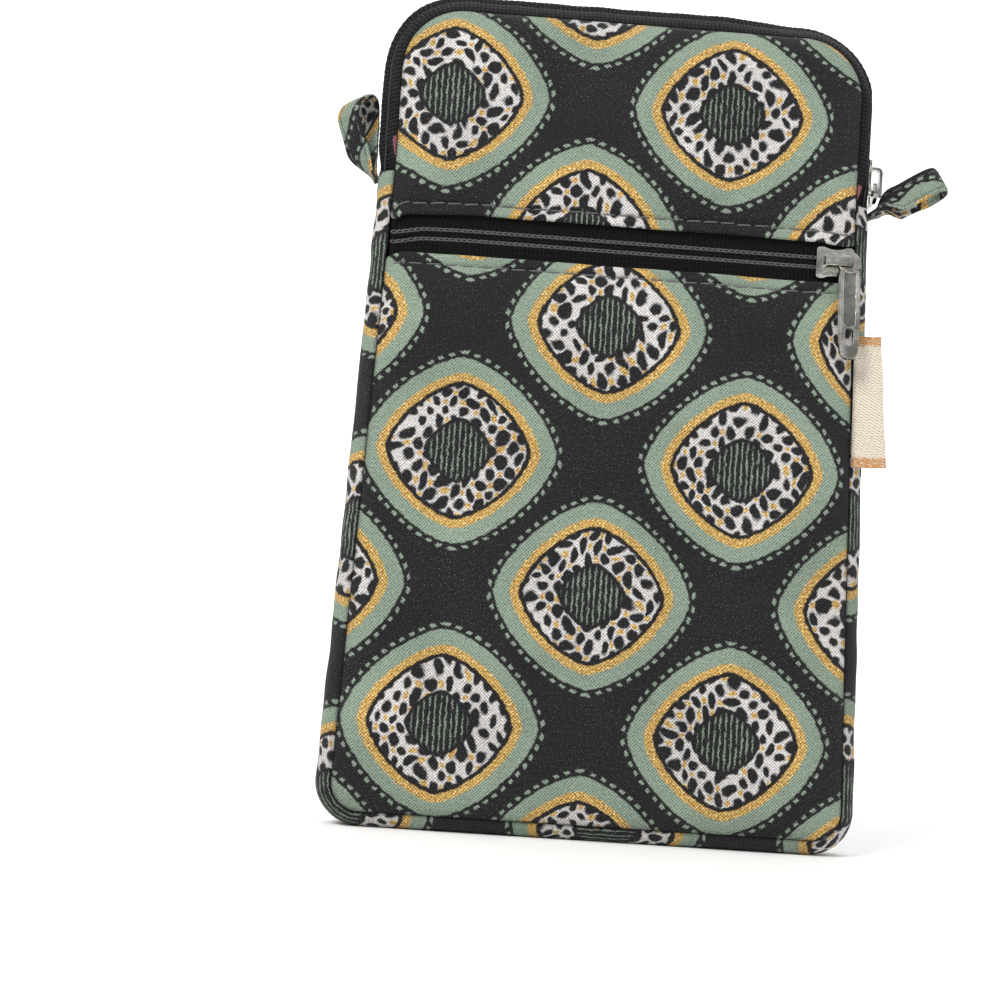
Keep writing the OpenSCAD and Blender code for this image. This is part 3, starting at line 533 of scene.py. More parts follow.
class Panel:
    """One padded panel. Heights are measured out from the seams' plane.

    It rises over a run from the seam, and its rings shrink to the line that medial gives. zip_edge is the height
    of its fold beside the pocket zip, offset places it on the cloth, and deepest is the last inset with a ring.
    """

    # the rim turns in at the seam, and under the fold at the zip: inset, height by the seam, height by the fold
    RIM = ((0.5, -0.05, 0.0), (0.3, -0.5, 0.08), (0.12, -0.66, 0.3))
    FOLD_HEIGHT, FOLD_ROUND = 0.55, 0.55

    def __init__(self, corners, radii, steps, run, rise, zip_edge, offset, seed, medial, deepest=14.0):
        self.corners, self.radii, self.steps, self.run, self.top = corners, radii, steps, run, rise + FABRIC
        self.zip_edge, self.offset, self.seed, self.medial, self.deepest = zip_edge, offset, seed, medial, deepest
        self.front = zip_edge is not None
        self.facing = 1 if self.front else -1
        self.spans = side_counts(corners, RING_SPACING)

    def drawn_in(self, inset):
        return ring(self.corners, self.radii, self.steps, self.spans, inset)

    def zip_distance(self, x, z):
        if not self.front:
            return np.full(np.shape(z), 99.0)
        return (z - self.zip_edge) * (1 if self.zip_edge > ZIP_Z else -1)

    def height(self, x, z):
        """How far the cloth's face stands out."""
        d, e = seam_distance(x, z), self.zip_distance(x, z)
        t = clamp(d / self.run)
        at_seam = -SEAM_ALLOWANCE + (self.top + SEAM_ALLOWANCE) * np.power(1 - np.power(1 - t, 2.1), 0.5)
        roll = clamp((self.FOLD_ROUND - e) / self.FOLD_ROUND)
        fold = FABRIC + self.FOLD_HEIGHT * np.sqrt(clamp(1 - np.square(roll)))
        swell = np.power(np.sin(math.pi / 2 * clamp((e - 2.4) / 11)), 0.9)
        at_zip = fold + (self.top - 1.15) * swell - 0.4 * bell(e, STITCH_IN, 0.42)
        gap = np.abs(at_seam - at_zip)
        h = np.minimum(at_seam, at_zip) - np.square(clamp(0.5 - gap)) / 2
        h += 0.1 * clamp(np.minimum(d, e) / 0.6)
        # soft unevenness of the padding, less of it by the edges and under the puller
        calm = smooth((np.minimum(d, e) - 1.5) / 7)
        if self.front:
            calm = calm * (1 - smooth((x - 40) / 6) * smooth((z - 98) / 8) * smooth((136 - z) / 3))
        h += calm * (0.3 * waves(x, z, 30, self.seed) + 0.11 * waves(x, z, 11, self.seed + 1) - 0.16)
        # the seam gathers the cloth a little, and so does the stitching
        pucker = waves(x, z, 6.5, self.seed + 2)
        h += 0.17 * pucker * clamp(d / 0.8) * fading(d - 0.8, 3.2) * clamp((e - 0.5) / 0.6)
        h += 0.09 * pucker * bell(e, 3.8, 1.6) * smooth((d - 1) / 3)
        stitch = 0.5 + 0.5 * np.cos(TURN * x / STITCH_PITCH)
        return h - 0.07 * stitch * bell(e, STITCH_IN, 0.7)

    def shift(self, x, z):
        """Sideways give of the folded edge."""
        if not self.front:
            return np.zeros(np.shape(z))
        fade = fading(self.zip_distance(x, z), 9)
        if self.zip_edge > ZIP_Z:
            return fade * (-end_dip(x, 0.75, 1.9) - 0.65 * smooth((x - 44) / 6) + 0.10 * waves(x, 0 * x, 17, 5))
        return fade * (-end_dip(x, 0.1, 1.2) + 0.10 * waves(x, 0 * x, 19, 6) - 0.05)

    def place(self, p, h):
        x, z = p.T
        return spread(x, -(SEAM_Y + h) * self.facing, z + self.shift(x, z))

    def coordinates(self, p, deep):
        return spread(p[:, 0] * self.facing + self.offset[0], p[:, 1] + self.offset[1], deep)

    def make(self, name, replaced):
        flats = [self.drawn_in(inset) for inset in RING_INSETS if inset <= self.deepest]
        last, middle = flats[-1], self.medial(flats[-1])
        rows = max(10, round(np.linalg.norm(last - middle, axis=1).max() / RING_SPACING))
        flats += [last * (1 - k / rows) + middle * (k / rows) for k in range(1, rows + 1)]
        # from the middle of the inside to the rim, and back over the face: outline, height, depth in the seam, which
        # sets the painted shade
        layers = [(p, 0.0, 1.0) for p in (middle, (middle + last) / 2, last, self.drawn_in(6.0))]
        for inset, at_seam, at_fold in self.RIM:
            p = self.drawn_in(inset)
            share = smooth(seam_distance(*p.T) - self.zip_distance(*p.T) + 0.5)
            layers.append((p, at_seam * (1 - share) + at_fold * share, 1.0))
        layers += [(p, self.height(*p.T), fading(seam_distance(*p.T), 0.4)) for p in flats]
        shape = Shape().grid(np.stack([self.place(p, h) for p, h, _ in layers]),
                             np.stack([self.coordinates(p, deep) for p, _, deep in layers]), "open")
        shape.make(name, canvas, "printed_canvas", replaced, merge=True)


def level_line(centre_z, half_x, half_z, share_x, share_z, station=0.0):
    """The line in a panel's middle that its rings shrink to, at stations that both its sides share."""
    def onto(p):
        x = p[:, 0] * share_x
        if station:
            x = np.round(x / station) * station
        return np.c_[np.clip(x, -half_x, half_x),
                     centre_z + np.clip((p[:, 1] - centre_z) * share_z, -half_z, half_z)]
    return onto


BOTTOM_CORNERS = [(-SEAM_X_BOTTOM, SEAM_Z_BOTTOM), (SEAM_X_BOTTOM, SEAM_Z_BOTTOM)]
TOP_CORNERS = [(SEAM_X_TOP, LOOP_Z), (SEAM_X_TOP, SEAM_Z_TOP), (-SEAM_X_TOP, SEAM_Z_TOP), (-SEAM_X_TOP, LOOP_Z)]
upper = Panel(
    [(-seam_x(UPPER_Z), UPPER_Z), (seam_x(UPPER_Z), UPPER_Z)] + TOP_CORNERS,
    [FOLD_R, FOLD_R, 0, TOP_R, TOP_R, 0], [6, 6, 0, 16, 16, 0],
    13, FRONT_RISE, UPPER_Z, (9.0, -14.0), 11, level_line(162.8, 30, 0.0, 0.74, 0.0, 2.0), 7.0)
lower = Panel(
    BOTTOM_CORNERS + [(seam_x(LOWER_Z), LOWER_Z), (-seam_x(LOWER_Z), LOWER_Z)],
    [BOTTOM_R, BOTTOM_R, FOLD_R, FOLD_R], [12, 12, 6, 6],
    13, FRONT_RISE, LOWER_Z, (2.0, 6.0), 21, level_line(66.7, 0.0, 9, 0.0, 0.18))
back = Panel(
    BOTTOM_CORNERS + TOP_CORNERS,
    [BOTTOM_R, BOTTOM_R, 0, TOP_R, TOP_R, 0], [12, 12, 0, 16, 16, 0],
    16, BACK_RISE, None, (15.0, 20.0), 31, level_line(95.0, 0.0, 40, 0.0, 0.5))
upper.make("front_upper_pad", ["front_upper_panel", "front_upper_filling"])
lower.make("front_lower_pad", ["front_lower_panel", "front_lower_filling"])
back.make("back_pad", ["back_panel", "back_filling"])


def topstitches(panel, name, along_z):
    """Lockstitches in the channel beside a folded edge."""
    xs = np.arange(-50.6, 51.2, STITCH_PITCH)[:, None]
    template = np.array([[-1.72, -0.30], [-1.5, -0.02], [-0.9, 0.12], [0.0, 0.15], [0.9, 0.12], [1.5, -0.02],
                         [1.72, -0.30]])
    rng = np.random.default_rng(3)
    x = xs + template[:, 0] + rng.uniform(-0.12, 0.12, xs.shape)
    z = np.full(x.shape, along_z) + rng.uniform(-0.09, 0.09, xs.shape) + 0.04 * template[:, 0]
    paths = spread(x, -SEAM_Y - panel.height(x, z) - template[:, 1], z + panel.shift(x, z))
    shape = tubes(Shape(), paths, np.array([0.0, -1.0, 0.0]), [0.1, 0.15, 0.17, 0.17, 0.17, 0.15, 0.1], 8, False)
    shape.make(name, seam_thread, "printed_canvas")


topstitches(upper, "stitches_above_pocket", UPPER_Z + STITCH_IN)
topstitches(lower, "stitches_below_pocket", LOWER_Z - STITCH_IN)


# -------- the edge, swept along the seam line
def arc_points(centre, r, start, end, step):
    n = max(4, round(abs(math.radians(end - start)) * r / step))
    a = np.radians(np.linspace(start, end, n + 1))
    normals = np.c_[np.cos(a), np.sin(a)]
    return np.array(centre) + r * normals, normals


def line_points(p, q, normal, step):
    n = max(2, round(math.dist(p, q) / step))
    t = np.linspace(0, 1, n + 1)[:, None]
    return np.array(p) * (1 - t) + np.array(q) * t, np.broadcast_to(np.array(normal, float), (n + 1, 2))


def join_path(parts):
    """Points, outward normals and distances along of a path of lines and arcs."""
    points, normals = (np.concatenate([part[k][i > 0:] for i, part in enumerate(parts)]) for k in (0, 1))
    return points, normals, run_length(points)


def edge_path(end, centre, r, way, lean, step, arc_step):
    """From the left end round both corners to the right end: by the bottom, or by the top where way is 1."""
    (x, z), cos, sin = centre, math.cos(lean), math.sin(lean)
    side, level = (x + r * cos, z + r * sin), z + way * r
    lean, turn = math.degrees(lean), 180 - 90 * way
    return join_path([
        line_points((-end[0], end[1]), (-side[0], side[1]), (-cos, sin), step),
        arc_points((-x, z), r, 180 - lean, turn, arc_step),
        line_points((-x, level), (x, level), (0, way), step),
        arc_points((x, z), r, turn, turn - 90 * way + lean, arc_step),
        line_points(side, end, (cos, sin), step),
    ])


def low_path(top_z, step):
    return edge_path((float(seam_x(top_z)), top_z), BOTTOM_CENTRE, BOTTOM_R, -1, FLARE, step, 0.8)


def high_path(step):
    return edge_path((SEAM_X_TOP, MAIN_END_Z), (SEAM_X_TOP - TOP_R, SEAM_Z_TOP - TOP_R), TOP_R, 1, 0, step, step)


def sweep(path, n, y):
    """Points at distances n outward and y back for every point of the path; n and y are (path, section)."""
    points, normals, _ = path
    out = points[:, None] + n[..., None] * normals[:, None]
    return spread(out[..., 0], y, out[..., 1])


def band_section(depth):
    """Points of the rounded edge's section at a depth under its face, from the front seam to the back one."""
    r = SECTION_R - depth
    a = np.radians(np.r_[np.linspace(math.degrees(math.acos(-SECTION_N / r)), 8.3, 9), 3.0, 0.0])
    n, y = SECTION_N + r * np.cos(a), FLAT_Y + r * np.sin(a)
    n, y = np.r_[n, np.full(3, n[-1])], np.r_[y, np.linspace(FLAT_Y, 0, 4)[1:]]
    return np.r_[n, n[-2::-1]], np.r_[-y, y[-2::-1]]


def make_band():
    points, normals, along = low_path(BAND_END_Z, 1.1)
    # the ends reach up on both sides of the strap, to the zip tape
    tips = np.array([(float(seam_x(z)), z) for z in (148.25, 147.4, BAND_END_Z + 0.05)])
    points = np.r_[tips * (-1, 1), points, tips[::-1]]
    normals = np.r_[np.repeat(normals[:1], 3, 0), normals, np.repeat(normals[-1:], 3, 0)]
    along = np.r_[-1.65, -0.8, -0.05, along, along[-1] + (0.05, 0.8, 1.65)]
    beside = points[:, 1:] > BAND_END_Z + 0.02
    strap_y = 3.55
    n_out, y_out = band_section(0)
    n_out[0] = n_out[-1] = 0.0
    sides = np.abs(normals[:, 0])[:, None]
    n = n_out + 0.3 * clamp(1 - np.square(y_out / 6.5)) * sides ** 2
    soft = clamp(n_out / 2.0) * (0.25 + 0.75 * sides ** 2)
    n = n + soft * (0.16 * waves(along[:, None], y_out[None] * 0.6, 15, 41) - 0.10)
    n = n + 0.12 * bell(np.abs(y_out), 6.6, 1.0) * waves(along[:, None], np.sign(y_out)[None] * 9, 6, 42)
    n[:, :1] = n[:, -1:] = 0.03
    n = np.where(beside & (np.abs(y_out) < strap_y), np.minimum(n, 0.9), n)
    y = np.broadcast_to(y_out, n.shape).copy()
    y[:, 0], y[:, -1] = -7.93, 7.93
    n_in, y_in = band_section(BAND_INSIDE)
    lip_n, lip_y = np.array([0.0, 0.05]), np.array([7.35, 7.0])
    n_back = np.r_[lip_n, n_in[::-1], lip_n[::-1]]
    y_back = np.r_[lip_y, y_in[::-1], -lip_y[::-1]]
    n_back = np.where(beside & (np.abs(y_back) < strap_y), np.minimum(n_back, 0.5), n_back)
    y_all = np.concatenate([y, np.broadcast_to(y_back, n_back.shape)], 1)
    world = sweep((points, normals, along), np.concatenate([n, n_back], 1), y_all)
    world[..., 2] = np.maximum(world[..., 2], 0.02)  # not below the CAD's base
    across = run_length(np.c_[n_out, y_out])
    across = np.r_[across, across[-1] + 1 + np.arange(len(y_back)) * 0.8]
    # painted shade: darker where the band dips into the seams, and all over its inner face
    deep = np.concatenate([fading(n, 0.35), np.ones(n_back.shape)], 1)
    shape = Shape().grid(world, spread(across + 31.0, along[:, None] + 11.0, deep))
    shape.make("edge_band_canvas", canvas, "printed_canvas", ["edge_band"], sharp=70)


make_band()


def make_band_lining():
    """The band's lining, with the small ends of it that peep out of the side seams above the loops."""
    path = low_path(BAND_END_Z - 0.1, 1.6)
    along = path[2][:, None]
    (n1, y1), (n2, y2) = (band_section(depth) for depth in LINING_FACES)
    n1, n2 = np.maximum(n1, 0.02), np.maximum(n2, 0.0)
    ripple = 0.06 * waves(along, y2[None], 9, 51)
    n_all = np.concatenate([np.broadcast_to(n1, (len(along), len(n1))), (n2 + np.minimum(ripple, 0))[:, ::-1]], 1)
    y_all = np.r_[y1, y2[::-1]]
    shape = Shape().grid(sweep(path, n_all, y_all), spread(y_all, along))
    for side, low, high in ((-1, 151.4, 156.4), (1, 149.6, 153.2)):
        t = np.linspace(0, 1, 14)
        wide = np.interp(t, [0, 0.15, 0.5, 0.8, 0.93, 1], [0.08, 0.3, 0.72, 0.98, 0.8, 0.15])
        reach = np.array([0.05, 0.2, 0.4, 0.6, 0.8, 0.95, 1.0])
        n = wide[:, None] * np.r_[reach, reach[::-1]]
        y = np.r_[-8.12 - 0.14 * np.sin(math.pi * reach), np.full(7, -8.0)]
        z = (low + (high - low) * t)[:, None]
        # painted shade: the slivers are marked 0.9 deep in the seam, which darkens them
        shape.grid(spread(side * (SEAM_X_TOP + n), y, z), spread(n, z, 0.9))
    piece = shape.make("band_lining_cloth", lining, "lining_cloth", ["band_lining"], sharp=60)


make_band_lining()


def lining_sheet(name, replaced, y_front, top_z, ripple, seed):
    """A thin flat lining in the panels' outline, cut off level at top_z, with a soft ripple on its free side."""
    thickness, inset, rows = 0.26, 0.35, 16
    corners, radii, steps = back.corners, back.radii, [8, 8, 0, 10, 10, 0]
    top_z = min(top_z, SEAM_Z_TOP - inset)
    if top_z < LOOP_Z:
        wide = float(seam_x(top_z))
        corners = BOTTOM_CORNERS + [(wide, top_z + inset), (-wide, top_z + inset)]
        radii, steps = [BOTTOM_R, BOTTOM_R, 1.0, 1.0], [8, 8, 2, 2]
    edge = ring(corners, radii, steps, side_counts(corners, 3.5), inset)
    middle = level_line((SEAM_Z_BOTTOM + top_z) / 2, 0.0, 20, 0.0, 0.3)(edge)
    k = np.arange(rows + 1)[:, None]
    flat = edge * (1 - k / rows)[..., None] + middle * (k / rows)[..., None]
    x, z = np.moveaxis(flat, -1, 0)
    w = ripple * smooth(k / 4) * (0.5 * waves(x, z * 0.4, 24, seed) + 0.5)
    front, behind = spread(x, y_front + w, z), spread(x, y_front + thickness + w, z)
    cloth = spread(x, z)
    shape = Shape().grid(np.r_[front[::-1], behind], np.r_[cloth[::-1], cloth], "open")
    piece = shape.make(name, lining, "lining_cloth", [replaced], merge=True, sharp=60)
    x, z = edge.T


lining_sheet("back_lining_cloth", "back_lining", 7.66, 999, -0.5, 61)
lining_sheet("pocket_front_cloth", "pocket_front_lining", -7.92, 121.9, 0.35, 62)
lining_sheet("pocket_back_cloth", "pocket_back_lining", -3.27, 999, 0.45, 63)


# -------- zip tapes
# the main tape's height over the seam, at distances from its middle: plain, by the slider, and full
SECTION_Y = [7.95, 7.5, 6.9, 6.2, 5.5, 4.95, 4.5, 4.15, 3.85, 3.55, 3.2, 2.8, 2.3, 1.7, 1.0, 0.5, 0.25, 0.13]
SLIDER_Y = SECTION_Y[:8] + [3.9, 3.7, 3.5, 3.2, 0.13]
SECTION_CLOSED = np.c_[SECTION_Y, [0.0, 0.62, 1.17, 1.66, 2.06, 2.33, 2.48, 2.5, 2.62, 2.95, 3.42, 3.82, 4.1, 4.26,
                                   4.32, 4.27, 4.12, 3.8]]
SECTION_SLIDER = np.c_[SLIDER_Y, [0.0, 0.85, 1.55, 2.1, 2.5, 2.78, 2.9, 2.92, 3.08, 3.3, 3.42, 3.44, 3.44]]
SECTION_FULL = np.c_[SECTION_Y, [0.0, 0.85, 1.6, 2.3, 2.82, 3.05, 3.0, 2.72, 2.85, 3.3, 4.0, 4.6, 5.1, 5.4, 5.5, 5.45,
                                 5.3, 4.95]]


def on_section(section, y, values=None):
    """The section's height, or other values given at its points, at distances y from the tape's middle."""
    return np.interp(-y, -section[:, 0], section[:, 1] if values is None else values)


def lowered(x, z):
    """1 where the main tape lies low: on the main slider's way, and beside the left loop; 0 elsewhere."""
    return np.where(x > 0, smooth((177.5 - z) / 5), smooth((155.5 - z) / 6))


def tape_height(x, z, y):
    """The main tape's outer face over the seam's point (x, z), at a distance y from the tape's middle."""
    low = lowered(x, z)
    n = on_section(SECTION_CLOSED, y) * (1 - low) + on_section(SECTION_SLIDER, y) * low
    # the sides of the tape are drawn in where it ends in the side seams
    end = 1 - smooth((z - MAIN_END_Z) / 9)
    return n * (1 - 0.7 * end * smooth((y - 3.7) / 1.2))


def mouth(t):
    """Half the opening of a tape beside its slider; t is the distance from the slider's middle to its head end."""
    return np.interp(t, [-2.3, 1.5, 2.7], [0.0, 0.75, 1.2])


def main_profile(points, along, y):
    """The main tape's outer face over a seam path, at each |y| of the list y, with a little unevenness."""
    x, z = points[:, :1], points[:, 1:]
    full = smooth((z - 174) / 11) * (1 - smooth((x - 24) / 14))
    n = tape_height(x, z, y[None]) * (1 - full) + on_section(SECTION_FULL, y) * full
    soft = (1 - lowered(x, z)) * clamp(n / 2)
    return n + soft * ((0.07 + 0.1 * full) * waves(along[:, None], y[None] * 0.3, 12, 71) - 0.02)


def main_tape(name, replaced, side):
    path = high_path(0.33)
    points, _, along = path
    middle, edge = 0.13, 7.5
    y = np.array([7.95, 7.85, 7.6, 7.2, 6.8, 6.3, 5.8, 5.3, 4.95, 4.7, 4.5, 4.35, 4.2, 4.05, 3.9, 3.75, 3.55, 3.3,
                  3.0, 2.7, 2.4, 2.1, 1.8, 1.5, 1.2, 0.9, 0.6, 0.4, 0.25, 0.16, middle])
    n = main_profile(points, along, y)
    low = lowered(*points.T)[:, None]
    rib = np.sin(TURN * along / COIL_PITCH)[:, None] * np.where(y < 3.5, 0.05, 0.03) * (y < 6.5)
    n = n + rib * (1 - low)
    n[:, 0] = 0.02
    by_slider = (points[:, 0] > 0) & (points[:, 1] <= 170)
    opened = mouth(np.where(by_slider, MAIN_SLIDER_Z - points[:, 1], -9))[:, None]
    yy = y + opened * (1 - clamp((y - middle) / 2.9))
    step = unit(np.stack([np.gradient(yy, axis=1), np.gradient(n, axis=1)], -1))
    thick = 0.42 - 0.14 * low
    y_in = np.clip(yy - thick * step[..., 1], middle, edge)
    n_in = np.maximum(n + thick * step[..., 0], 0.0)
    lip = np.zeros((len(n), 1))
    y_all = np.concatenate([yy, y_in[:, ::-1], lip + edge - 0.05], 1) * side
    world = sweep(path, np.concatenate([n, n_in[:, ::-1], lip], 1), y_all)
    across = on_section(SECTION_CLOSED, y, run_length(SECTION_CLOSED))
    # painted shade: darker on the tape's inner face, where it dips to the seam and in the groove along the chain
    # stitches
    deep = np.full(world.shape[:2], 0.6)
    deep[:, :len(y)] = np.maximum(fading(n, 0.3), 0.75 * bell(y, ROW_Y, 0.35))
    shape = Shape().grid(world, spread(along[:, None], np.r_[across, across[::-1] + 12, 0], deep))
    tape = shape.make(name, tape_painted_lighter, "zip_tape", [replaced], sharp=70)


main_tape("main_tape_front_woven", "main_tape_front", -1)
main_tape("main_tape_back_woven", "main_tape_back", 1)


def chain_rows(name, rows, across, width, thread):
    """Chain stitches, one loop at each origin. Each row gives the origins, and the ways along and out."""
    rows = [np.broadcast_arrays(*row) for row in rows]
    origins, along, out = (np.concatenate(part)[:, None] for part in zip(*rows))
    t = np.arange(12) * TURN / 12
    a, b = 0.84 * np.cos(t), width * np.sin(t) * (1 - 0.28 * np.cos(t))
    c = -0.07 * np.cos(t)
    paths = origins + a[:, None] * along + b[:, None] * np.array(across) + c[:, None] * out
    tubes(Shape(), paths, out, 0.155, 6, True).make(name, thread, "zip_tape")


def main_rows():
    points, normals, along = high_path(0.2)
    at = np.arange(0.9, along[-1] - 0.8, COIL_PITCH)
    (px, pz), (nx, nz) = resample(at, along, points).T, unit(resample(at, along, normals)).T
    lift = main_profile(np.c_[px, pz], at, np.array([ROW_Y]))[:, 0] + 0.05
    rows = [(spread(px + nx * lift, ROW_Y * side, pz + nz * lift), spread(nz, 0, -nx), spread(nx, side * 0.25, nz))
            for side in (-1, 1)]
    chain_rows("main_zip_chain_stitches", rows, [0.0, 1.0, 0.0], 0.28, dark_chain_thread)


main_rows()


def zip_bend(x):
    """How far the pocket zip's rows bend down at their left end."""
    return -end_dip(x, 0.35, 1.5, 9.0)


def pocket_profile(v):
    """How deep the pocket tape's face lies at a distance from the zip's centre line."""
    ridges = 0.05 * bell(v, 0.5, 0.25) + 0.04 * bell(v, 1.85, 0.3)
    return 0.07 + 0.2 * bell(v, ROW_V, 0.34) - ridges + 0.05 * bell(v, 3.1, 0.15)


def pocket_tape(name, replaced, side):
    xs = np.arange(-52.9, 52.95, 0.7)[:, None]
    v = np.array([0.12, 0.2, 0.35, 0.5, 0.65, 0.8, 0.92, 1.02, 1.12, 1.25, 1.4, 1.55, 1.7, 1.85, 2.05, 2.4, 2.8, 3.0,
                  3.1, 3.2, 3.6, 4.2, 5.0, 6.5, 9.0, 12.4])
    place = v + mouth(xs - POCKET_SLIDER_X) * (1 - clamp((v - v[0]) / 3.2))
    deep = pocket_profile(v) + 0.03 * waves(xs, v[None], 9, 81) * clamp(v - 1.6)
    z = ZIP_Z + side * place + zip_bend(xs) * np.exp(-v / 6)
    outer, inner = spread(xs, TAPE_Y + np.maximum(deep, 0.02), z), spread(xs, TAPE_Y + 0.48, z)
    world = np.concatenate([outer, inner[:, ::-1]], 1)
    # painted shade: darker along the chain stitches and at the tape's edge by the opening
    dark = bell(v, ROW_V, 0.3) * 0.6 + bell(v, v[0], 0.12) * 0.7
    across = np.r_[v, v[::-1] + 14] + (0 if side > 0 else 30)
    shape = Shape().grid(world, spread(xs, across, np.r_[clamp(dark), 0 * v]))
    tape = shape.make(name, tape_black, "zip_tape", [replaced], sharp=60)


pocket_tape("pocket_tape_upper_woven", "pocket_tape_upper", 1)
pocket_tape("pocket_tape_lower_woven", "pocket_tape_lower", -1)


def pocket_rows():
    xs = np.arange(-52.0, 52.2, COIL_PITCH)
    v = ROW_V + mouth(xs - POCKET_SLIDER_X) * 0.66
    rows = [(spread(xs, TAPE_Y + 0.14, ZIP_Z + side * v + zip_bend(xs) * math.exp(-ROW_V / 6)),
             np.array([1.0, 0.0, 0.0]), np.array([0.0, -1.0, 0.0])) for side in (-1, 1)]
    chain_rows("pocket_zip_chain_stitches", rows, [0.0, 0.0, 1.0], 0.29, chain_thread)


pocket_rows()


# -------- strap loops
def strap_section(width, thickness):
    """Closed section of a folded strip, as (across, out) points: rounded folds and a channel beside each."""
    half, t = width / 2, thickness / 2
    w = np.array([0.0, 0.7, 1.4, 1.9, 2.2, 2.5, 2.8, 3.1]) * (half / 3.5)
    top = t * np.array([1.0, 0.98, 0.95, 0.88, 0.74, 0.74, 0.9, 0.82])
    angle = np.radians([55, 25, 0, -25, -55])
    edge_w, edge_t = half - 0.4 + 0.4 * np.cos(angle), t * 0.8 * np.sin(angle)
    right = np.r_[np.c_[w, top], np.c_[edge_w, edge_t], np.c_[w[::-1], -top[::-1]]]
    return np.r_[right, right[::-1][1:-1] * np.array([-1, 1])]


def loop_line(samples):
    """Centre line of the strip's drop, as (aside, up) points with their outward normals."""
    r_low, r_high, reach = 0.2, 3.75, 15.7
    s = math.asin((r_high - r_low) / reach)
    foot = np.array([r_low * math.cos(s), -r_low * math.sin(s)])
    top = np.array([r_high * math.cos(s), reach - r_high * math.sin(s)])
    straight = np.linalg.norm(top - foot)
    k = round(samples * straight / (2 * straight + 3.5 * r_high))
    up = foot + (top - foot) * np.linspace(0, 1, k)[:, None]
    angle = np.linspace(-s, math.pi + s, samples - 2 * k + 2)[1:-1]
    turn = np.c_[np.cos(angle), np.sin(angle)]
    points = np.r_[up, np.array([0, reach]) + r_high * turn, (up * [-1, 1])[::-1]]
    points[:, 0] *= 0.5 + 0.5 * smooth((points[:, 1] - 1.5) / 7)
    normal = np.r_[np.tile([math.cos(s), -math.sin(s)], (k, 1)), turn, np.tile([-math.cos(s), -math.sin(s)], (k, 1))]
    return points, normal


def kept_clear(world, line, outward, draw):
    """How far out each row of a loop moves to be just clear of the zip tape, drawn up to draw closer to it."""
    over_tape = tape_height(world[..., 0], world[..., 2], np.abs(world[..., 1])) + 0.15
    short = over_tape - (outward * world[..., 0] - SEAM_X_TOP)
    short = np.where(world[..., 2] > MAIN_END_Z - 0.6, short, -draw).max(1)
    short = np.maximum(np.maximum(short, short[::-1]), -draw * smooth((line[:, 1] - 0.6) / 2.4))
    short = np.max([np.roll(short, k) for k in range(-2, 3)], 0)
    short[:3] = short[-3:] = 0
    return np.convolve(np.pad(short, 4, "edge"), np.ones(9) / 9, "valid")[:, None]


def strap(name, replaced, body, root_x, lean, twist, start_h, span, draw, offset, seed):
    """A strap loop. It leans aside by lean degrees, and turns by twist about its length over a span from start_h."""
    line, normal = loop_line(74)
    section = strap_section(7.0, 1.06)
    along = run_length(line)[:, None]
    a, h = (line[:, None] + normal[:, None] * section[:, 1:]).transpose(2, 0, 1)
    # cloth is uneven: its width and its edges wander a little
    y = section[:, 0] * (1 - 0.07 * smooth((h - 2) / 8)) + 0.12 * waves(along, 0 * h, 8, seed)
    bump = 0.07 * waves(along, y, 5, seed + 1) * smooth((h - 1.5) / 3)
    a, h = a + bump * normal[:, :1], h + bump * normal[:, 1:]
    phi = math.radians(twist) * smooth((h - start_h) / span)
    a, y = a * np.cos(phi) - y * np.sin(phi), a * np.sin(phi) + y * np.cos(phi)
    cos, sin = math.cos(math.radians(lean)), math.sin(math.radians(lean))
    world = spread(root_x + a * cos + h * sin, y, LOOP_Z - a * sin + h * cos)
    outward = math.copysign(1, root_x)
    world[..., 0] += outward * kept_clear(world, line, outward, draw)
    across = section[:, 0] + offset[0] + np.where(section[:, 1] < 0, 8.0, 0.0)
    # painted shade: darker in the stitched channels and near the root, where the strip goes into the seam
    deep = 0.35 * bell(np.abs(section[:, 0]), EDGE_STITCH, 0.3) + 0.8 * np.exp(-h / 1.2)
    shape = Shape().grid(world, spread(across, along + offset[1], deep))
    shape.make(name, canvas, "printed_canvas", [replaced], body)
    # edge stitching, on the outside of the strip
    along = along[:, 0]
    template = np.array([[-1.15, -0.16], [-0.95, 0.02], [-0.4, 0.09], [0.4, 0.09], [0.95, 0.02], [1.15, -0.16]])
    place = np.arange(3.0, along[-1] - 2.5, 2.9)[:, None] + template[:, 0]
    stitches = Shape()
    for edge in (-EDGE_STITCH, EDGE_STITCH):
        col = int(np.argmin(np.abs(section[:, 0] - edge) + 9 * (section[:, 1] < 0)))
        beside = world[:, (col + 1) % len(section)] - world[:, (col - 1) % len(section)]
        face = unit(np.cross(beside, np.gradient(world[:, col], axis=0)))
        face = face * np.sign(((world[:, col] - world.mean(1)) * face).sum(1, keepdims=True))
        out = unit(resample(place, along, face))
        paths = resample(place, along, world[:, col]) + out * template[:, 1:]
        tubes(stitches, paths, out, [0.08, 0.11, 0.12, 0.12, 0.11, 0.08], 6, False)
    stitches.make(name + "_stitches", seam_thread, "printed_canvas", body=body)


strap("left_strap_loop_cloth", "left_loop", "left_strap_loop", -ROOT_X, -18, 50, 0.6, 7.0, 1.3, (14.0, 9.0), 91)
strap("right_strap_loop_cloth", "right_loop", "right_strap_loop", ROOT_X, 60, 78, 3.0, 6.0, 0.0, (21.0, 30.0), 95)


def strap_tail(name, replaced, side, offset):
    """The two plies of a strap in the side seam, pressed flat."""
    shape = Shape()
    section = strap_section(6.7, 0.76)
    xs = np.linspace(54.05, 56.46, 8)[:, None]
    for level in (-0.40, 0.40):
        # painted shade: the plies are marked 0.4 deep in the seam, which darkens them
        shape.grid(spread(xs * side, section[:, 0], LOOP_Z + level + section[:, 1] * 0.98),
                   spread(section[:, 0] + offset, xs, 0.4))
    shape.make(name, canvas, "printed_canvas", [replaced], sharp=60)


strap_tail("left_strap_tail_cloth", "left_loop_tail", -1, 5.0)
strap_tail("right_strap_tail_cloth", "right_loop_tail", 1, 17.0)


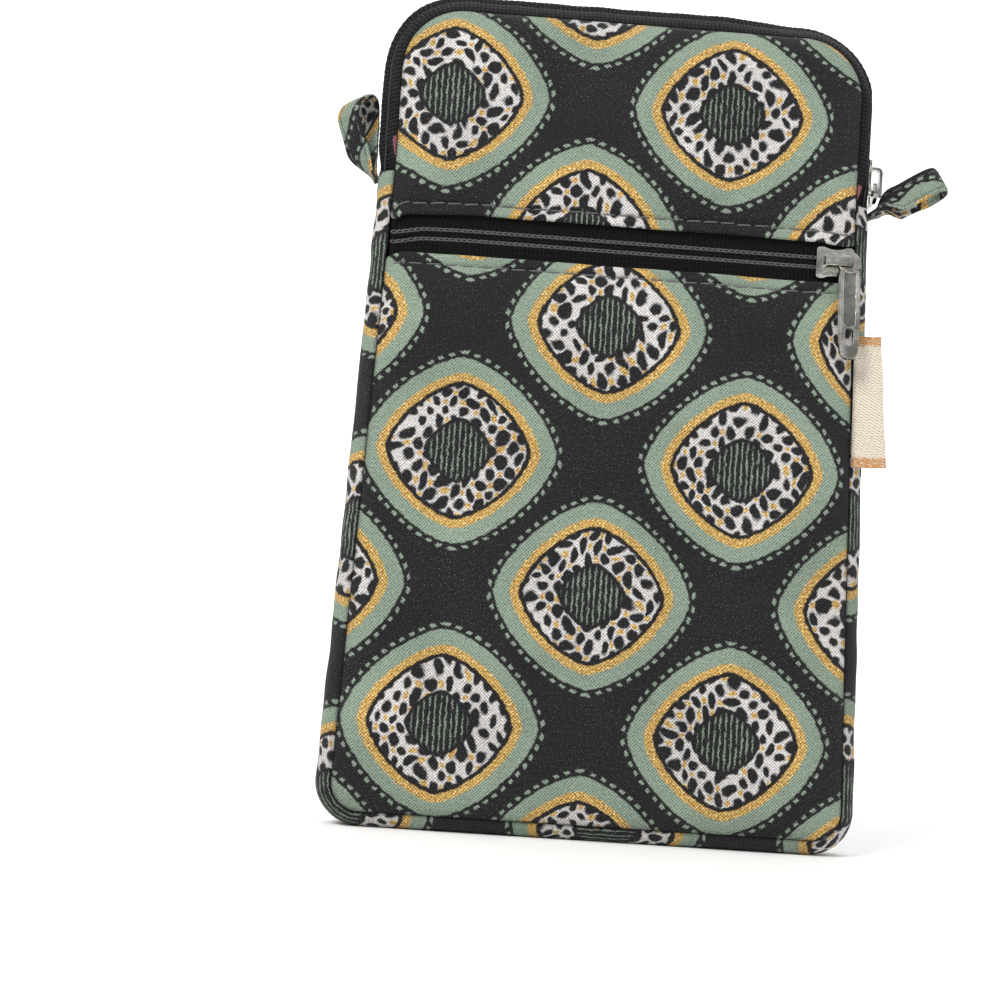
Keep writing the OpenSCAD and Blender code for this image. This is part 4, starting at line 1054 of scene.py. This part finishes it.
# -------- woven label
def woven_label():
    """A band folded once over a slack gap, its ends in the right seam, curling and leaning a little."""
    middle_z, root, ply, slack, lean = 103.0, 0.4, 0.28, 0.12, math.radians(-8)
    t = 2 * ply + slack
    rows = np.linspace(0, 2 * LABEL_HALF, 46)
    wide = 7.75 - 1.85 * (rows / 30) ** 0.8 + 0.10 * waves(rows, 0 * rows, 9, 101)
    fold, start = wide[:, None] - t / 2, -root / 2
    reach = start + (fold - start) * np.linspace(0, 1, 9)
    turn = np.radians(np.linspace(-90, 90, 9))[1:-1]

    def layer(r):
        """Out from the seam at -r, round the fold and back at r."""
        e = np.concatenate([reach, fold + r * np.cos(turn), reach[:, ::-1]], 1)
        return e, np.broadcast_to(np.r_[np.full(9, -r), r * np.sin(turn), np.full(9, r)], e.shape)

    e, w = (np.concatenate([outer, inner[:, ::-1]], 1) for outer, inner in zip(layer(t / 2), layer(slack / 2)))
    z = np.broadcast_to(rows[:, None], e.shape)
    share = clamp(e / 7.0)
    w = w + (share ** 2 * (0.35 * np.sin(z * 0.21 + 0.8) - 0.25) + 0.06 * waves(e, z, 7, 102) * share)
    x1 = e * math.cos(lean) - w * math.sin(lean)
    y1 = e * math.sin(lean) + w * math.cos(lean)
    z1 = z - LABEL_HALF + 0.12 * waves(e * 2, 0 * e, 9, 103) * np.abs(z - LABEL_HALF) / LABEL_HALF
    x2 = x1 * math.cos(-FLARE) + z1 * math.sin(-FLARE)
    z2 = -x1 * math.sin(-FLARE) + z1 * math.cos(-FLARE)
    world = spread(float(seam_x(middle_z)) + root + x2, -SEAM_Y - FABRIC + 0.15 + y1, middle_z + z2)
    # painted shade: darker near the root, where the label goes into the seam
    shape = Shape().grid(world, spread(e + np.where(w > 0, 9.0, 0.0), z, fading(e, 0.35)), "open")
    # the cut edges close between the outer and the inner face
    count = e.shape[1]
    for base, way in ((0, 1), ((len(rows) - 1) * count, -1)):
        for i in range(count // 2 - 1):
            quad = [base + i, base + i + 1, base + count - 2 - i, base + count - 1 - i]
            shape.faces.append(quad[::way])
    piece = shape.make("side_label_cloth", label_cloth, "woven_label", ["woven_label"], "side_label", sharp=60)


woven_label()


# -------- metal and coils keep their CAD shapes
SOFT_EDGES = {"main_slider": 0.14, "pocket_slider": 0.14, "main_puller": 0.12, "pocket_puller": 0.12}
for name in (*SOFT_EDGES, "main_coil_front", "main_coil_back", "pocket_coil_upper", "pocket_coil_lower"):
    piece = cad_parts[name]
    piece.data.materials.clear()
    piece.data.materials.append(nickel if name in SOFT_EDGES else nylon)
    if name in SOFT_EDGES:
        bevel = piece.modifiers.new("soft_edges", "BEVEL")
        bevel.width, bevel.segments, bevel.use_clamp_overlap = SOFT_EDGES[name] * MM, 2, True
        bevel.limit_method, bevel.angle_limit = "ANGLE", math.radians(38)


# -------- stage, light and camera
def make_stage():
    """A floor that bends up into a wall behind the pouch."""
    half_width, bend_y, bend_r, top = 3.2, 0.9, 0.8, 3.2
    bend = np.radians(np.linspace(-90, 0, 14))
    profile = [(-3.0, 0.0), (-0.5, 0.0), (bend_y, 0.0)]
    profile += [(bend_y + bend_r * math.cos(a), bend_r + bend_r * math.sin(a)) for a in bend[1:]]
    profile += [(bend_y + bend_r, top)]
    verts = [(x, y, z) for y, z in profile for x in (-half_width, half_width)]
    faces = [(2 * i, 2 * i + 1, 2 * i + 3, 2 * i + 2) for i in range(len(profile) - 1)]
    mesh = bpy.data.meshes.new("studio_floor")
    mesh.from_pydata(verts, [], faces)
    mesh.polygons.foreach_set("use_smooth", [True] * len(mesh.polygons))
    mesh.materials.append(floor_material())
    add_object("studio_floor", mesh)


def area_light(name, place, target, size, power, colour=(1, 1, 1)):
    data = bpy.data.lights.new(name, "AREA")
    data.shape, data.size, data.energy, data.color = "DISK", size, power, colour
    light = add_object(name, data)
    light.location = place
    light.rotation_euler = (Vector(target) - Vector(place)).to_track_quat("-Z", "Y").to_euler()


def make_world():
    """The studio is dim at eye level and bright overhead, which is what the metal mirrors."""
    s = Shader(bpy.data.worlds.new("studio"))
    _, _, height = s.split(s.node("TexCoord", {}, "Generated"))
    s.fill(s.tree.nodes["Background"], {"Color": s.within(height, 0.1, 0.6, 0.47), "Strength": 0.85})
    bpy.context.scene.world = s.owner
    bpy.context.scene.view_settings.view_transform = "Standard"


def make_camera():
    """The photograph's view, fitted to its seam line, silhouette and fittings."""
    yaw, pitch, roll = (math.radians(a) for a in (2.134, 3.960, 3.916))
    target, distance, sensor, lens = Vector((-0.023689, 0, 0.07556)), 0.450, 36, 36 * 1.962
    forward = Vector((math.sin(yaw) * math.cos(pitch), math.cos(yaw) * math.cos(pitch), math.sin(pitch)))
    level = Vector((math.cos(yaw), -math.sin(yaw), 0))
    upright = level.cross(forward)
    right = math.cos(roll) * level + math.sin(roll) * upright
    up = -math.sin(roll) * level + math.cos(roll) * upright
    data = bpy.data.cameras.new("camera")
    data.sensor_fit, data.sensor_width, data.lens = "HORIZONTAL", sensor, lens
    data.clip_start, data.clip_end = 0.01, 20
    matrix = Matrix((right, up, -forward)).transposed().to_4x4()
    matrix.translation = target - distance * forward
    camera = add_object("camera", data)
    camera.matrix_world = matrix
    bpy.context.scene.camera = camera


make_stage()
area_light("key_light", (-0.55, -0.75, 0.85), (0, 0, 0.10), 0.5, 12.5, (1.0, 0.985, 0.96))
area_light("fill_light", (0.85, -0.7, 0.35), (0, 0, 0.09), 0.8, 3.5)
area_light("back_light", (0.1, 0.75, 1.3), (0, 1.5, 0.5), 0.9, 16.0)
make_world()
make_camera()
